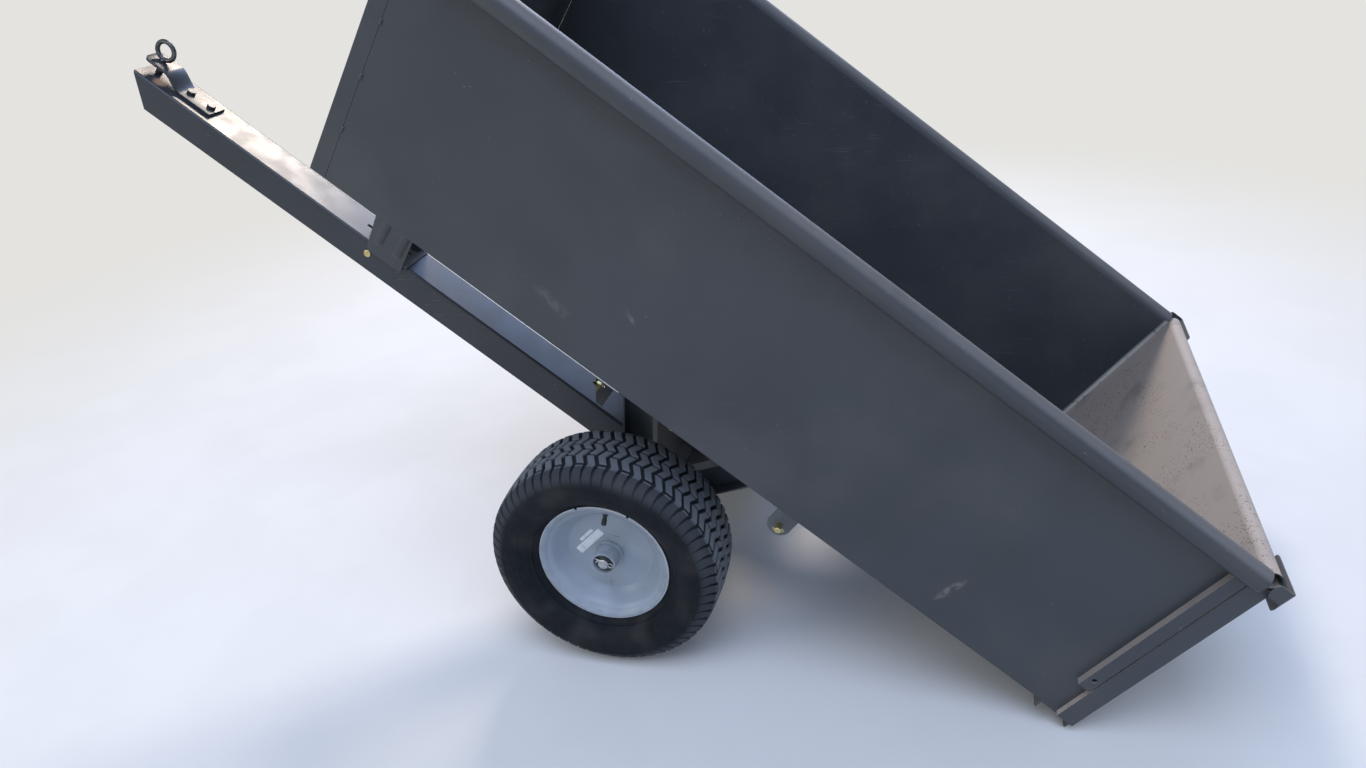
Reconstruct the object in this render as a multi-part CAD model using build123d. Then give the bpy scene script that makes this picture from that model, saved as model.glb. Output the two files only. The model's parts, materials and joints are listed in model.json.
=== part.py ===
from build123d import *
import math
import os

# Tow-behind dump cart, parked as it is tipped back on its wheels and tail with the tongue in the air.
# It is drawn level first: u runs forward from the bed's rear edge, y to the left, w up from the
# underside of the floor. The finished pieces are then tipped back until wheels and tail touch z = 0.

# Load bed
bed_half_width = 420.0
bed_height = 403.0
seam_u = 1388.0
front_return = 26.0
front_lean_deg = 4.0
sheet = 2.0
seam_gap = 0.6
seat_gap = 0.3
floor_flange = 25.0
rim_radius = 19.0
weld_flange = 14.0

# How far a cutting shape runs past what it cuts, and the slanting slab past the bed
cut_over = 1.0
slab_over = 60.0

# Rear sill under the gate, whose lower rear edge is what the tail stands on
sill_rear = 32.0
sill_front = 30.0
sill_depth = 16.0
sill_sheet = 3.0

# Gate and its guides
gate_gap = 0.5
gate_overlap = 10.0
gate_roll_radius = 14.0
gate_depth = 31.0
guide_front = 25.0
guide_rear = 4.0
guide_stand_off = 13.0
guide_bottom = 72.0
hook_bottom = 78.0
hook_height = 50.0
hook_reach = 18.0
lock_hole_u = 14.0
lock_hole_radius = 4.0
lock_hole_height = 94.0
cap_inside = 65.0
cap_wing_length = 26.0
cap_wing_height = 24.0
cap_height = 40.0
cap_reach = 40.0

# Wheels and axle
wheel_u = 694.0
wheel_w = -327.0
wheel_y = 338.0
tyre_radius = 206.0
tyre_width = 162.0
tyre_wall = 9.0
tread_width = 116.0
crown_drop = 3.0
crown_thickness = 20.0
shoulder_drop = 19.0
shoulder_inset = 7.0
belly_radius = 159.0
bead_radius = 101.0
bead_width = 12.0
bead_swell = 8.0
rim_flange_radius = 118.0
rim_flange_offset = 53.0
rim_lip = 5.0
rim_flare = 9.0
rim_sheet = 3.0
dish_depth = 40.0
dish_radius = 76.0
dish_corner = 10.0
hub_collar_radius = 30.0
hub_collar_rise = 8.0
axle_radius = 9.5
hub_radius = 22.0
hub_bore_clearance = 0.08
hub_half_length = 53.0
hub_recess_radius = 18.5
hub_recess_depth = 9.0
washer_radius = 17.0
washer_thickness = 2.5
axle_overhang = 6.0
cotter_radius = 2.0
cotter_reach = 17.0
cotter_turn_deg = 106.0
valve_radius = 4.5
valve_length = 20.0
valve_angle_deg = 33.0

# V shaped struts that carry the axle under the floor, pressed as channels open to the outside
strut_y = 159.0
strut_width = 57.0
strut_flange = 30.0
strut_sheet = 3.0
strut_spread = 206.0
strut_boss_radius = 24.0
rib_width = 84.0
rib_depth = 18.0
rib_inset = 35.0

# Tongue
tongue_top = -312.0
tongue_width = 87.0
tongue_height = 60.0
tongue_sheet = 3.5
tongue_tip = 1951.0
tongue_tip_cut = 44.0
tongue_overrun = 94.0
tongue_bend = 5.0
front_slot = ((848.0, -36.0), (892.0, -34.0), (863.0, 34.0), (848.0, 34.0))
rear_slot_behind = 38.0
rear_slot_length = 24.0
rear_slot_width = 68.0
sleeve_radius = 11.2
sleeve_clearance = 0.08
spacer_radius = 15.0
slot_pin_place = (880.0, -22.0)
slot_pin_radius = 6.0
slot_pin_length = 24.0
slot_pin_stand = 4.0

# Hitch at the tip of the tongue
strap_width = 48.0
strap_sheet = 6.0
strap_rear = 1795.0
strap_bend = 1869.0
strap_step = 1897.0
strap_rise = 22.0
strap_nose_round = 12.0
strap_bolt_u = (1809.0, 1855.0)
strap_bolt_radius = 5.0
bolt_head_radius = 9.0
bolt_head_height = 6.0
bolt_tail = 6.0
hitch_pin_u = 1928.0
hitch_pin_radius = 6.35
hitch_hole_clearance = 0.4
hitch_pin_tail = 30.0
hitch_ring_radius = 18.0
hitch_ring_wire = 4.5

# Latch between bed and tongue
stand_front = 1414.0
stand_rear = 1330.0
stand_foot_front = 1402.0
stand_foot_rear = 1322.0
stand_foot_w = -325.0
stand_toe = 8.0
stand_waist_w = -245.0
stand_sheet = 3.0
stand_clearance = 5.0
stand_rib_radius = 14.0
stand_rib_depth = 6.0
stand_rib_places = (1388.0, 1345.0)
stand_rib_bottom = -304.0
stand_rib_top = -60.0
saddle_rear = 1316.0
saddle_hole_place = (1342.0, -27.0)
saddle_hole_radius = 15.0
latch_slot_rear = 1333.0
latch_slot_front = 1436.0
latch_slot_width = 8.0
latch_pin_u = 1398.0
latch_pin_w = -338.0
latch_pin_radius = 5.0
latch_pivot_u = 1372.0
latch_pivot_w = -150.0
pin_head_radius = 7.5
pin_head_thickness = 3.0
lever_sheet = 4.0
lever_eye = 12.0
lever_clearance = 6.0
nose_width = 14.0
nose_rise = 14.0
nose_w = -344.0
pedal_reach = 40.0
pedal_rise = 26.0
pedal_width = 60.0
pedal_sheet = 8.0

# Lugs below the floor near each side
lug_behind = 177.0
lug_inset = 50.0
lug_width = 40.0
lug_depth = 76.0
lug_sheet = 4.0
lug_pin_radius = 5.5
lug_pin_inside = 8.0
lug_pin_reach = 20.0

lean = math.tan(math.radians(front_lean_deg))
bed_length = seam_u + front_return
cap_outside = bed_half_width + cap_reach
rib_half_length = bed_half_width - rib_inset
tongue_tail = wheel_u - tongue_overrun
rear_slot_u = wheel_u - rear_slot_behind
lug_u = wheel_u - lug_behind
lug_y = bed_half_width - lug_inset


def along_u(sketch, u0, u1):
    """A profile drawn in (y, w), carried along the cart from u0 to u1."""
    return extrude(Plane.YZ.offset(u0) * sketch, amount=u1 - u0)


def across(sketch, y0, y1):
    """A profile drawn in (u, w), carried across the cart from y0 to y1."""
    return extrude(Plane.XZ.offset(-y1) * sketch, amount=y1 - y0)


def upward(sketch, w0, w1):
    """A profile drawn in (u, y), carried upward from w0 to w1."""
    return extrude(Plane.XY.offset(w0) * sketch, amount=w1 - w0)


def box(u0, u1, y0, y1, w0, w1):
    """A plain block between two corners."""
    return Pos((u0 + u1) / 2, (y0 + y1) / 2, (w0 + w1) / 2) * Box(abs(u1 - u0), abs(y1 - y0), abs(w1 - w0))


def rod_across(u, w, radius, y0, y1):
    """A round bar whose axis runs across the cart."""
    return Pos(u, (y0 + y1) / 2, w) * Rot(90, 0, 0) * Cylinder(radius, abs(y1 - y0))


def rod_upright(u, y, radius, w0, w1):
    """A round bar whose axis runs up."""
    return Pos(u, y, (w0 + w1) / 2) * Cylinder(radius, abs(w1 - w0))


def mirrored(shape):
    """The same piece on the right-hand side."""
    return mirror(shape, about=Plane.XZ)


def outline(*points):
    """A closed straight-sided profile."""
    return make_face(Polyline(*points, close=True))


def curl(radius, opening):
    """Sheet rolled round by three quarters of a turn, open toward the named corner (x sign, y sign)."""
    ring = Circle(radius) - Circle(radius - sheet)
    return ring - Pos(opening[0] * radius / 2, opening[1] * radius / 2) * Rectangle(radius, radius)


def front_plane_prism(rear_u, front_u):
    """The slanting slab between two lines that lean forward like the front panel."""
    low, high = -slab_over, bed_height + slab_over
    profile = outline(
        (rear_u + low * lean, low),
        (front_u + low * lean, low),
        (front_u + high * lean, high),
        (rear_u + high * lean, high),
    )
    return across(profile, -cap_outside, cap_outside)


def side_panel():
    """Left side of the bed: floor flange, upright sheet and the rim rolled outward along its top."""
    outer, inner = bed_half_width, bed_half_width - sheet
    rim_w = bed_height - rim_radius
    upright = Pos((outer + inner) / 2, (rim_w + sheet) / 2) * Rectangle(sheet, rim_w - sheet)
    flange = Pos(outer - floor_flange / 2, 1.5 * sheet) * Rectangle(floor_flange, sheet)
    wall = along_u(upright + flange, 0, seam_u + bed_height)
    wall &= front_plane_prism(-bed_length, seam_u - seam_gap / 2)
    rim = Pos(inner + rim_radius, rim_w) * curl(rim_radius, (-1, -1))
    rim_front = bed_length + rim_w * lean + 2 * rim_radius
    return wall + along_u(rim, 0, rim_front)


def floor_panel():
    """Flat floor on which the side and front panels stand."""
    return box(0, bed_length, -bed_half_width, bed_half_width, 0, sheet)


def front_panel():
    """Leaning front of the bed with a return on each side and the rim rolled forward on top."""
    rim_w = bed_height - rim_radius
    half = bed_half_width
    outer = box(seam_u - bed_height, bed_length + bed_height, -half, half, sheet, rim_w)
    inner = box(seam_u - bed_height, bed_length + bed_height, sheet - half, half - sheet, 0, bed_height)
    returns = (outer - inner) & front_plane_prism(seam_u + seam_gap / 2, bed_length)
    face = outer & front_plane_prism(bed_length - sheet, bed_length)
    rim_u = bed_length + rim_w * lean - sheet + rim_radius
    rim = Pos(rim_u, rim_w) * curl(rim_radius, (-1, -1))
    rim_half = half - sheet - seat_gap
    foot = box(bed_length - floor_flange, bed_length, floor_flange - half, half - floor_flange, sheet, 2 * sheet)
    return returns + face + across(rim, -rim_half, rim_half) + foot


def rear_sill():
    """Channel under the floor's rear edge, on which the gate stands and the tail rests."""
    t = sill_sheet
    profile = outline(
        (-sill_rear, -sill_depth),
        (-sill_rear, 0),
        (sill_front, 0),
        (sill_front, -sill_depth),
        (sill_front - t, -sill_depth),
        (sill_front - t, -t),
        (t - sill_rear, -t),
        (t - sill_rear, -sill_depth),
    )
    return across(profile, -bed_half_width, bed_half_width)


def gate_guide():
    """Strip that stands off the left side panel and leaves a slot for the gate's hook."""
    face = bed_half_width
    outside = face + guide_stand_off
    profile = outline(
        (guide_front, face),
        (guide_front, outside),
        (guide_rear, outside),
        (guide_rear, outside - sheet),
        (guide_front - sheet, outside - sheet),
        (guide_front - sheet, face),
    )
    top = bed_height - 2 * rim_radius - seat_gap
    strip = upward(profile, guide_bottom, top)
    return strip - rod_across(lock_hole_u, lock_hole_height, lock_hole_radius, face + sheet, outside + sheet)


def gate_panel():
    """Gate: flat skin with a return on each side and the top rolled rearward."""
    half = bed_half_width + gate_overlap
    skin_front, skin_rear = -gate_gap, -gate_gap - sheet
    roll_w = bed_height - gate_roll_radius
    bottom = seat_gap
    skin = box(skin_rear, skin_front, -half, half, bottom, roll_w)
    roll = Pos(skin_front - gate_roll_radius, roll_w) * curl(gate_roll_radius, (1, -1))
    gate = skin + across(roll, -half, half)
    side = box(-gate_depth, skin_front, half - sheet, half, bottom, roll_w - gate_roll_radius - seat_gap)
    return gate + side + mirrored(side)


def gate_hooks():
    """Short hooks on the gate's edges that run in the guides."""
    y0 = bed_half_width + (guide_stand_off - 2 * sheet) / 2
    rear = -gate_gap
    hook = box(rear, rear + hook_reach, y0, y0 + sheet, hook_bottom, hook_bottom + hook_height)
    hook -= rod_across(lock_hole_u, lock_hole_height, lock_hole_radius, y0 - sheet, y0 + 2 * sheet)
    return [hook, mirrored(hook)]


def gate_caps():
    """Bent plates at the gate's top corners that close the ends of the rims."""
    inside = bed_half_width + gate_overlap
    rear = -gate_depth
    front, wing_base = rear + cap_wing_length, bed_height - cap_wing_height
    back = box(rear - sheet, rear, inside - cap_inside, cap_outside, bed_height - cap_height, bed_height)
    wing = box(rear - sheet, front, cap_outside - sheet, cap_outside, wing_base, bed_height)
    cap = back + wing
    return [cap, mirrored(cap)]


def tyre():
    """Left tyre as a revolved body out to the tips of its tread, on the wheel's own axis."""
    half, tread = tyre_width / 2, tread_width / 2
    seat = rim_flange_offset - rim_sheet - seat_gap
    lip = rim_flange_radius + seat_gap
    base = bead_radius + seat_gap
    edge = (tread, tyre_radius - crown_drop)
    shoulder = (half - shoulder_inset, tyre_radius - shoulder_drop)
    swell = (seat + bead_swell, lip + bead_swell)
    neck = (seat, rim_flange_radius - rim_lip)
    heel = (seat - rim_flare, base)
    toe = (seat - rim_flare - bead_width, base)
    hip = (swell[0] - bead_width, swell[1])
    roof = (tread, tyre_radius - crown_thickness)
    side = [
        Line(edge, shoulder),
        ThreePointArc(shoulder, (half, belly_radius), swell),
        Line(swell, (seat, lip)),
        Line((seat, lip), neck),
        Line(neck, heel),
        Line(heel, toe),
        Line(toe, hip),
        ThreePointArc(hip, (half - tyre_wall, belly_radius), roof),
    ]
    other = [mirror(piece, about=Plane.YZ) for piece in side]
    crown = ThreePointArc((-edge[0], edge[1]), (0, tyre_radius), edge)
    path = Curve() + [crown, Line(roof, (-roof[0], roof[1]))] + side + other
    return revolve(make_face(Plane.YZ * path), Axis.Y)


def rim_disc():
    """Pressed steel wheel: barrel flared to a lip at each side and a deep dished disc inside it."""
    t, edge = rim_sheet, rim_flange_offset
    neck = rim_flange_radius - rim_lip
    barrel = [
        (edge - t - rim_flare, bead_radius),
        (edge - t, neck),
        (edge - t, rim_flange_radius),
        (edge, rim_flange_radius),
        (edge, neck),
        (edge - rim_flare, bead_radius - t),
    ]
    disc_y = edge - dish_depth
    dish = [
        (edge - rim_flare, bead_radius - t / 2),
        (disc_y + dish_corner, dish_radius + dish_corner),
        (disc_y, dish_radius),
        (disc_y, hub_collar_radius),
        (disc_y + hub_collar_rise, hub_radius),
    ]
    back = [(y - t, radius) for y, radius in reversed(dish)]
    body = revolve(Plane.YZ * outline(*barrel, *[(-y, radius) for y, radius in reversed(barrel)]), Axis.Y)
    body += revolve(Plane.YZ * outline(*dish, *back), Axis.Y)
    return body - rod_across(0, 0, hub_radius + seat_gap, -edge, edge)


def hub_tube():
    """Hub tube with its bearing turned on the axle, recessed at both ends."""
    tube = rod_across(0, 0, hub_radius, -hub_half_length, hub_half_length)
    tube -= rod_across(0, 0, axle_radius + hub_bore_clearance, -wheel_y, wheel_y)
    face = hub_half_length - hub_recess_depth
    tube -= rod_across(0, 0, hub_recess_radius, face, hub_half_length + cut_over)
    return tube - rod_across(0, 0, hub_recess_radius, -hub_half_length - cut_over, -face)


def valve_stem():
    """Rubber valve standing square out of the dish's slope, near the top of the parked wheel."""
    outer_y, outer_radius = rim_flange_offset - rim_flare, bead_radius - rim_sheet / 2
    inner_y = rim_flange_offset - dish_depth + dish_corner
    inner_radius = dish_radius + dish_corner
    slope_deg = math.degrees(math.atan2(outer_radius - inner_radius, outer_y - inner_y))
    stem = rod_across(0, 0, valve_radius, seat_gap, seat_gap + valve_length)
    foot = Pos(0, (outer_y + inner_y) / 2, (outer_radius + inner_radius) / 2)
    return Rot(0, valve_angle_deg, 0) * foot * Rot(slope_deg - 90, 0, 0) * stem


def axle_strut():
    """Left V strut: two channel arms, open to the outside, from the ribs down to a boss on the axle."""
    top = -rib_depth
    half = strut_width / 2 / math.cos(math.atan2(strut_spread, -wheel_w))
    head = strut_spread * (top - wheel_w) / -wheel_w
    web = Pos(wheel_u, wheel_w) * Circle(half)
    for side in (-1, 1):
        web += outline(
            (wheel_u - half, wheel_w),
            (wheel_u + half, wheel_w),
            (wheel_u + side * head + half, top),
            (wheel_u + side * head - half, top),
        )
    outside = strut_y + strut_flange
    hollow = offset(web, -strut_sheet, kind=Kind.INTERSECTION)
    strut = across(web, strut_y, outside) - across(hollow, strut_y + strut_sheet, outside + cut_over)
    strut += rod_across(wheel_u, wheel_w, strut_boss_radius, strut_y, outside)
    return strut - rod_across(wheel_u, wheel_w, axle_radius, strut_y - cut_over, outside + cut_over)


def floor_rib(side):
    """Hat-shaped rib across the underside of the floor, over the strut heads."""
    head = strut_spread * (-rib_depth - wheel_w) / -wheel_w
    u = wheel_u + side * head
    half, t = rib_width / 2, sheet
    profile = outline(
        (u - half - weld_flange, 0),
        (u + half + weld_flange, 0),
        (u + half + weld_flange, -t),
        (u + half, -t),
        (u + half, -rib_depth),
        (u - half, -rib_depth),
        (u - half, -t),
        (u - half - weld_flange, -t),
    )
    hollow = outline(
        (u - half + t, 0),
        (u + half - t, 0),
        (u + half - t, t - rib_depth),
        (u - half + t, t - rib_depth),
    )
    return across(profile - hollow, -rib_half_length, rib_half_length)


def axle_shaft():
    """Solid axle from wheel to wheel, through struts and tongue."""
    end = cotter_place() + axle_overhang
    shaft = rod_across(wheel_u, wheel_w, axle_radius, -end, end)
    hole = cotter_rod(axle_radius + cut_over)
    return shaft - hole - mirrored(hole)


def axle_spacers():
    """Tubes and washers that hold the hubs and the tongue's sleeve in place along the axle."""
    bearing = hub_half_length - hub_recess_depth
    outer = wheel_y + bearing + seat_gap
    spans = (
        (strut_y + strut_flange, wheel_y - bearing - seat_gap, spacer_radius),
        (tongue_width / 2 + seat_gap, strut_y, spacer_radius),
        (outer, outer + washer_thickness, washer_radius),
    )
    made = []
    for y0, y1, radius in spans:
        ring = rod_across(wheel_u, wheel_w, radius, y0, y1)
        ring -= rod_across(wheel_u, wheel_w, axle_radius, y0 - cut_over, y1 + cut_over)
        made += [ring, mirrored(ring)]
    return made


def axle_cotters():
    """Cotter pins through the ends of the axle."""
    cotter = cotter_rod(cotter_reach)
    return [cotter, mirrored(cotter)]


def cotter_rod(half_length):
    """A rod square through the left end of the axle, turned as the cotter pins sit."""
    place = Pos(wheel_u, cotter_place(), wheel_w) * Rot(0, cotter_turn_deg, 0)
    return place * Cylinder(cotter_radius, 2 * half_length)


def cotter_place():
    """Distance of a cotter from the middle of the cart."""
    washer_end = wheel_y + hub_half_length - hub_recess_depth + seat_gap + washer_thickness
    return washer_end + seat_gap + cotter_radius


def tongue_channel():
    """Pressed channel open below, cut back obliquely at its tip, with slots and holes in its top."""
    half, t = tongue_width / 2, tongue_sheet
    low = tongue_top - tongue_height
    section = RectangleRounded(tongue_width, 2 * tongue_height, tongue_bend)
    section -= RectangleRounded(tongue_width - 2 * t, 2 * (tongue_height - t), tongue_bend - t)
    section &= Pos(0, tongue_height / 2) * Rectangle(2 * tongue_width, tongue_height)
    body = along_u(Pos(0, low) * section, tongue_tail, tongue_tip)
    foot = low - cut_over
    tip = outline((tongue_tip, tongue_top), (tongue_tip, foot), (tongue_tip - tongue_tip_cut, foot))
    body -= across(tip, -half - cut_over, half + cut_over)
    under, over = tongue_top - t - cut_over, tongue_top + cut_over
    slots = outline(*front_slot)
    slots += Pos(*slot_pin_place) * Circle(slot_pin_radius + seat_gap)
    slots += Pos(rear_slot_u, 0) * Rectangle(rear_slot_length, rear_slot_width)
    slots += latch_slot()
    body -= upward(slots, under, over)
    body -= rod_across(wheel_u, wheel_w, sleeve_radius, -half - cut_over, half + cut_over)
    body -= rod_across(latch_pin_u, latch_pin_w, latch_pin_radius, -half - cut_over, half + cut_over)
    body -= rod_upright(hitch_pin_u, 0, hitch_pin_radius + hitch_hole_clearance, low, over)
    for u in strap_bolt_u:
        body -= rod_upright(u, 0, strap_bolt_radius, under, over)
    return body


def latch_slot():
    """Outline, from above, of the narrow slot that the latch plate dips through."""
    middle = (latch_slot_rear + latch_slot_front) / 2
    return Pos(middle, 0) * Rectangle(latch_slot_front - latch_slot_rear, latch_slot_width)


def slot_pin():
    """Small upright pin at the corner of the tongue's front slot."""
    top = tongue_top + slot_pin_stand
    return rod_upright(*slot_pin_place, slot_pin_radius, top - slot_pin_length, top)


def tongue_sleeve():
    """Tube through the tongue that turns on the axle."""
    half = tongue_width / 2
    sleeve = rod_across(wheel_u, wheel_w, sleeve_radius, -half, half)
    bore = axle_radius + sleeve_clearance
    return sleeve - rod_across(wheel_u, wheel_w, bore, -half - cut_over, half + cut_over)


def hitch_strap():
    """Flat bar stepped up off the tongue, so that a drawbar fits below its raised end."""
    t, rise, low = strap_sheet, strap_rise, tongue_top
    profile = outline(
        (strap_rear, low),
        (strap_bend, low),
        (strap_step, low + rise),
        (tongue_tip, low + rise),
        (tongue_tip, low + rise + t),
        (strap_step - t / 2, low + rise + t),
        (strap_bend - t / 2, low + t),
        (strap_rear, low + t),
    )
    strap = across(profile, -strap_width / 2, strap_width / 2)
    strap = fillet(strap.edges().filter_by(Axis.Z).group_by(Axis.X)[-1], strap_nose_round)
    hole = hitch_pin_radius + hitch_hole_clearance
    strap -= rod_upright(hitch_pin_u, 0, hole, low, low + rise + t + cut_over)
    for u in strap_bolt_u:
        strap -= rod_upright(u, 0, strap_bolt_radius, low - cut_over, low + t + cut_over)
    return strap


def strap_bolts():
    """Two bolts through strap and tongue, with heads above and nuts below."""
    top = tongue_top + strap_sheet
    under = tongue_top - tongue_sheet
    hexagon = RegularPolygon(bolt_head_radius, 6)
    made = []
    for u in strap_bolt_u:
        bolt = rod_upright(u, 0, strap_bolt_radius, under - bolt_head_height - bolt_tail, top)
        bolt += upward(Pos(u, 0) * hexagon, top, top + bolt_head_height)
        bolt += upward(Pos(u, 0) * hexagon, under - bolt_head_height, under)
        made.append(bolt)
    return made


def hitch_pin():
    """Drawbar pin with a ring on its upper end, which rests on the strap."""
    top = tongue_top + strap_rise + strap_sheet
    low = tongue_top - tongue_height - hitch_pin_tail
    ring_w = top + hitch_ring_wire + hitch_ring_radius
    pin = rod_upright(hitch_pin_u, 0, hitch_pin_radius, low, ring_w - hitch_ring_radius)
    ring = Rot(90, 0, 0) * Torus(hitch_ring_radius, hitch_ring_wire)
    return pin + Pos(hitch_pin_u, 0, ring_w) * ring


def latch_stand():
    """Stand hanging from the floor: two ribbed cheeks, a head and a saddle that lies over the tongue."""
    inside = tongue_width / 2 + stand_clearance
    outside = inside + stand_sheet
    cheek = outline(
        (stand_front, 0),
        (stand_front, stand_waist_w),
        (stand_foot_front, stand_foot_w + stand_toe),
        (stand_foot_front - stand_toe, stand_foot_w),
        (stand_foot_rear, stand_foot_w),
        (stand_rear, stand_waist_w),
        (stand_rear, 0),
    )
    left = across(cheek, inside, outside)
    for u in stand_rib_places:
        rib = Pos(u, outside + stand_rib_depth - stand_rib_radius) * Circle(stand_rib_radius)
        rib &= Pos(u, outside + stand_rib_radius) * Rectangle(2 * stand_rib_radius, 2 * stand_rib_radius)
        left += upward(rib, stand_rib_bottom, stand_rib_top)
    head = box(stand_rear, stand_front, -inside, inside, -stand_sheet, 0)
    saddle = Pos((saddle_rear + stand_foot_front) / 2, 0)
    saddle *= Rectangle(stand_foot_front - saddle_rear, 2 * inside)
    saddle -= latch_slot()
    saddle -= Pos(*saddle_hole_place) * Circle(saddle_hole_radius)
    rest = tongue_top + seat_gap
    stand = left + mirrored(left) + head + upward(saddle, rest, rest + stand_sheet)
    end = outside + stand_rib_depth + cut_over
    return stand - rod_across(latch_pivot_u, latch_pivot_w, latch_pin_radius, -end, end)


def latch_pivot():
    """Pin through the stand's cheeks on which the latch turns."""
    end = tongue_width / 2 + stand_clearance + stand_sheet + stand_rib_depth + seat_gap
    return headed_pin(latch_pivot_u, latch_pivot_w, end)


def headed_pin(u, w, end):
    """A pin across the cart with a head at each end."""
    pin = rod_across(u, w, latch_pin_radius, -end, end)
    head = rod_across(u, w, pin_head_radius, end, end + pin_head_thickness)
    return pin + head + mirrored(head)


def latch_lever():
    """Foot latch: a plate hung on the pivot, its nose down in the tongue's slot, its pedal in front."""
    half = lever_sheet / 2
    nose_rear = latch_pin_u + latch_pin_radius + lever_clearance
    pedal_top = latch_pivot_w + pedal_rise
    pedal_front = stand_front + pedal_reach
    profile = outline(
        (latch_pivot_u - lever_eye, latch_pivot_w + lever_eye),
        (pedal_front, pedal_top),
        (pedal_front, pedal_top - pedal_sheet),
        (stand_front, latch_pivot_w + lever_eye),
        (nose_rear + nose_width, latch_pivot_w - lever_eye),
        (nose_rear + nose_width, nose_w),
        (nose_rear, nose_w),
        (nose_rear, tongue_top + nose_rise),
        (latch_pivot_u - lever_eye, latch_pivot_w - lever_eye),
    )
    plate = across(profile, -half, half)
    tread = box(
        stand_front + stand_clearance,
        pedal_front,
        -pedal_width / 2,
        pedal_width / 2,
        pedal_top - pedal_sheet,
        pedal_top,
    )
    end = half + cut_over
    return plate + tread - rod_across(latch_pivot_u, latch_pivot_w, latch_pin_radius, -end, end)


def latch_pin():
    """Pin through the tongue that the latch catches."""
    return headed_pin(latch_pin_u, latch_pin_w, tongue_width / 2 + seat_gap)


def floor_lug():
    """Rounded lug under the floor near the left side."""
    r = lug_width / 2
    length = lug_depth - r - rib_depth
    shape = Pos(lug_u, -rib_depth - length / 2) * Rectangle(lug_width, length)
    shape += Pos(lug_u, r - lug_depth) * Circle(r)
    lug = across(shape, lug_y, lug_y + lug_sheet)
    lug += box(lug_u - r, lug_u + r, lug_y - r, lug_y + lug_sheet, -rib_depth - lug_sheet, -rib_depth)
    lug -= rod_across(lug_u, r - lug_depth, lug_pin_radius, lug_y - cut_over, lug_y + lug_sheet + cut_over)
    return [lug, mirrored(lug)]


def lug_pins():
    """Pins through the lugs, each with a wider head on its inner end."""
    w = lug_width / 2 - lug_depth
    inner = lug_y - lug_pin_inside
    pin = rod_across(lug_u, w, lug_pin_radius, inner, lug_y + lug_pin_reach)
    pin += rod_across(lug_u, w, pin_head_radius, inner, inner + pin_head_thickness)
    return [pin, mirrored(pin)]


def park_angle():
    """Angle, in degrees, by which wheels and tail touch the ground together."""
    du, dw = wheel_u + sill_rear, wheel_w + sill_depth
    return math.degrees(math.asin(tyre_radius / math.hypot(du, dw)) - math.atan2(dw, du))


def build_level():
    """Every node of the cart in its level frame, by name."""
    side = side_panel()
    guide = gate_guide()
    strut = axle_strut()
    nodes = {
        "floor_panel": [floor_panel()],
        "side_panel_left": [side],
        "side_panel_right": [mirrored(side)],
        "front_panel": [front_panel()],
        "rear_sill": [rear_sill()],
        "gate_guide_left": [guide],
        "gate_guide_right": [mirrored(guide)],
        "floor_rib_front": [floor_rib(1)],
        "floor_rib_rear": [floor_rib(-1)],
        "axle_strut_left": [strut],
        "axle_strut_right": [mirrored(strut)],
        "axle_shaft": [axle_shaft()],
        "axle_spacers": axle_spacers(),
        "axle_cotters": axle_cotters(),
        "latch_stand": [latch_stand()],
        "latch_lever": [latch_lever()],
        "latch_pivot": [latch_pivot()],
        "floor_lugs": floor_lug(),
        "lug_pins": lug_pins(),
        "tongue_channel": [tongue_channel()],
        "tongue_sleeve": [tongue_sleeve()],
        "hitch_strap": [hitch_strap()],
        "strap_bolts": strap_bolts(),
        "hitch_pin": [hitch_pin()],
        "latch_pin": [latch_pin()],
        "slot_pin": [slot_pin()],
        "gate_panel": [gate_panel()],
        "gate_hooks": gate_hooks(),
        "gate_caps": gate_caps(),
    }
    wheel = {"tyre": tyre(), "rim": rim_disc(), "hub": hub_tube(), "valve": valve_stem()}
    for name, piece in wheel.items():
        placed = Pos(wheel_u, wheel_y, wheel_w) * piece
        nodes[f"wheel_left_{name}"] = [placed]
        nodes[f"wheel_right_{name}"] = [mirrored(placed)]
    return nodes


def park(nodes):
    """The nodes tipped back on wheels and tail, with the origin at the bottom centre of the whole."""
    tipped = {}
    for name, solids in nodes.items():
        tipped[name] = [Rot(0, -park_angle(), 0) * solid for solid in solids]
    whole = Compound(children=[solid for solids in tipped.values() for solid in solids])
    size = whole.bounding_box()
    shift = Pos(-(size.min.X + size.max.X) / 2, 0, -size.min.Z)
    return {name: [shift * solid for solid in solids] for name, solids in tipped.items()}, shift


if __name__ == "__main__":
    os.makedirs("parts", exist_ok=True)
    parked, origin_shift = park(build_level())
    for node, solids in parked.items():
        export_step(Compound([piece for solid in solids for piece in solid.solids()]), f"parts/{node}.step")
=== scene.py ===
"""Dress of a tow-behind dump cart, parked on its wheels and tail with the tongue in the air.

Points leave this file in metres in the frame of the row; the sizes in the classes are millimetres.
"""
import json
import logging
from dataclasses import dataclass
from enum import Enum

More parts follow.
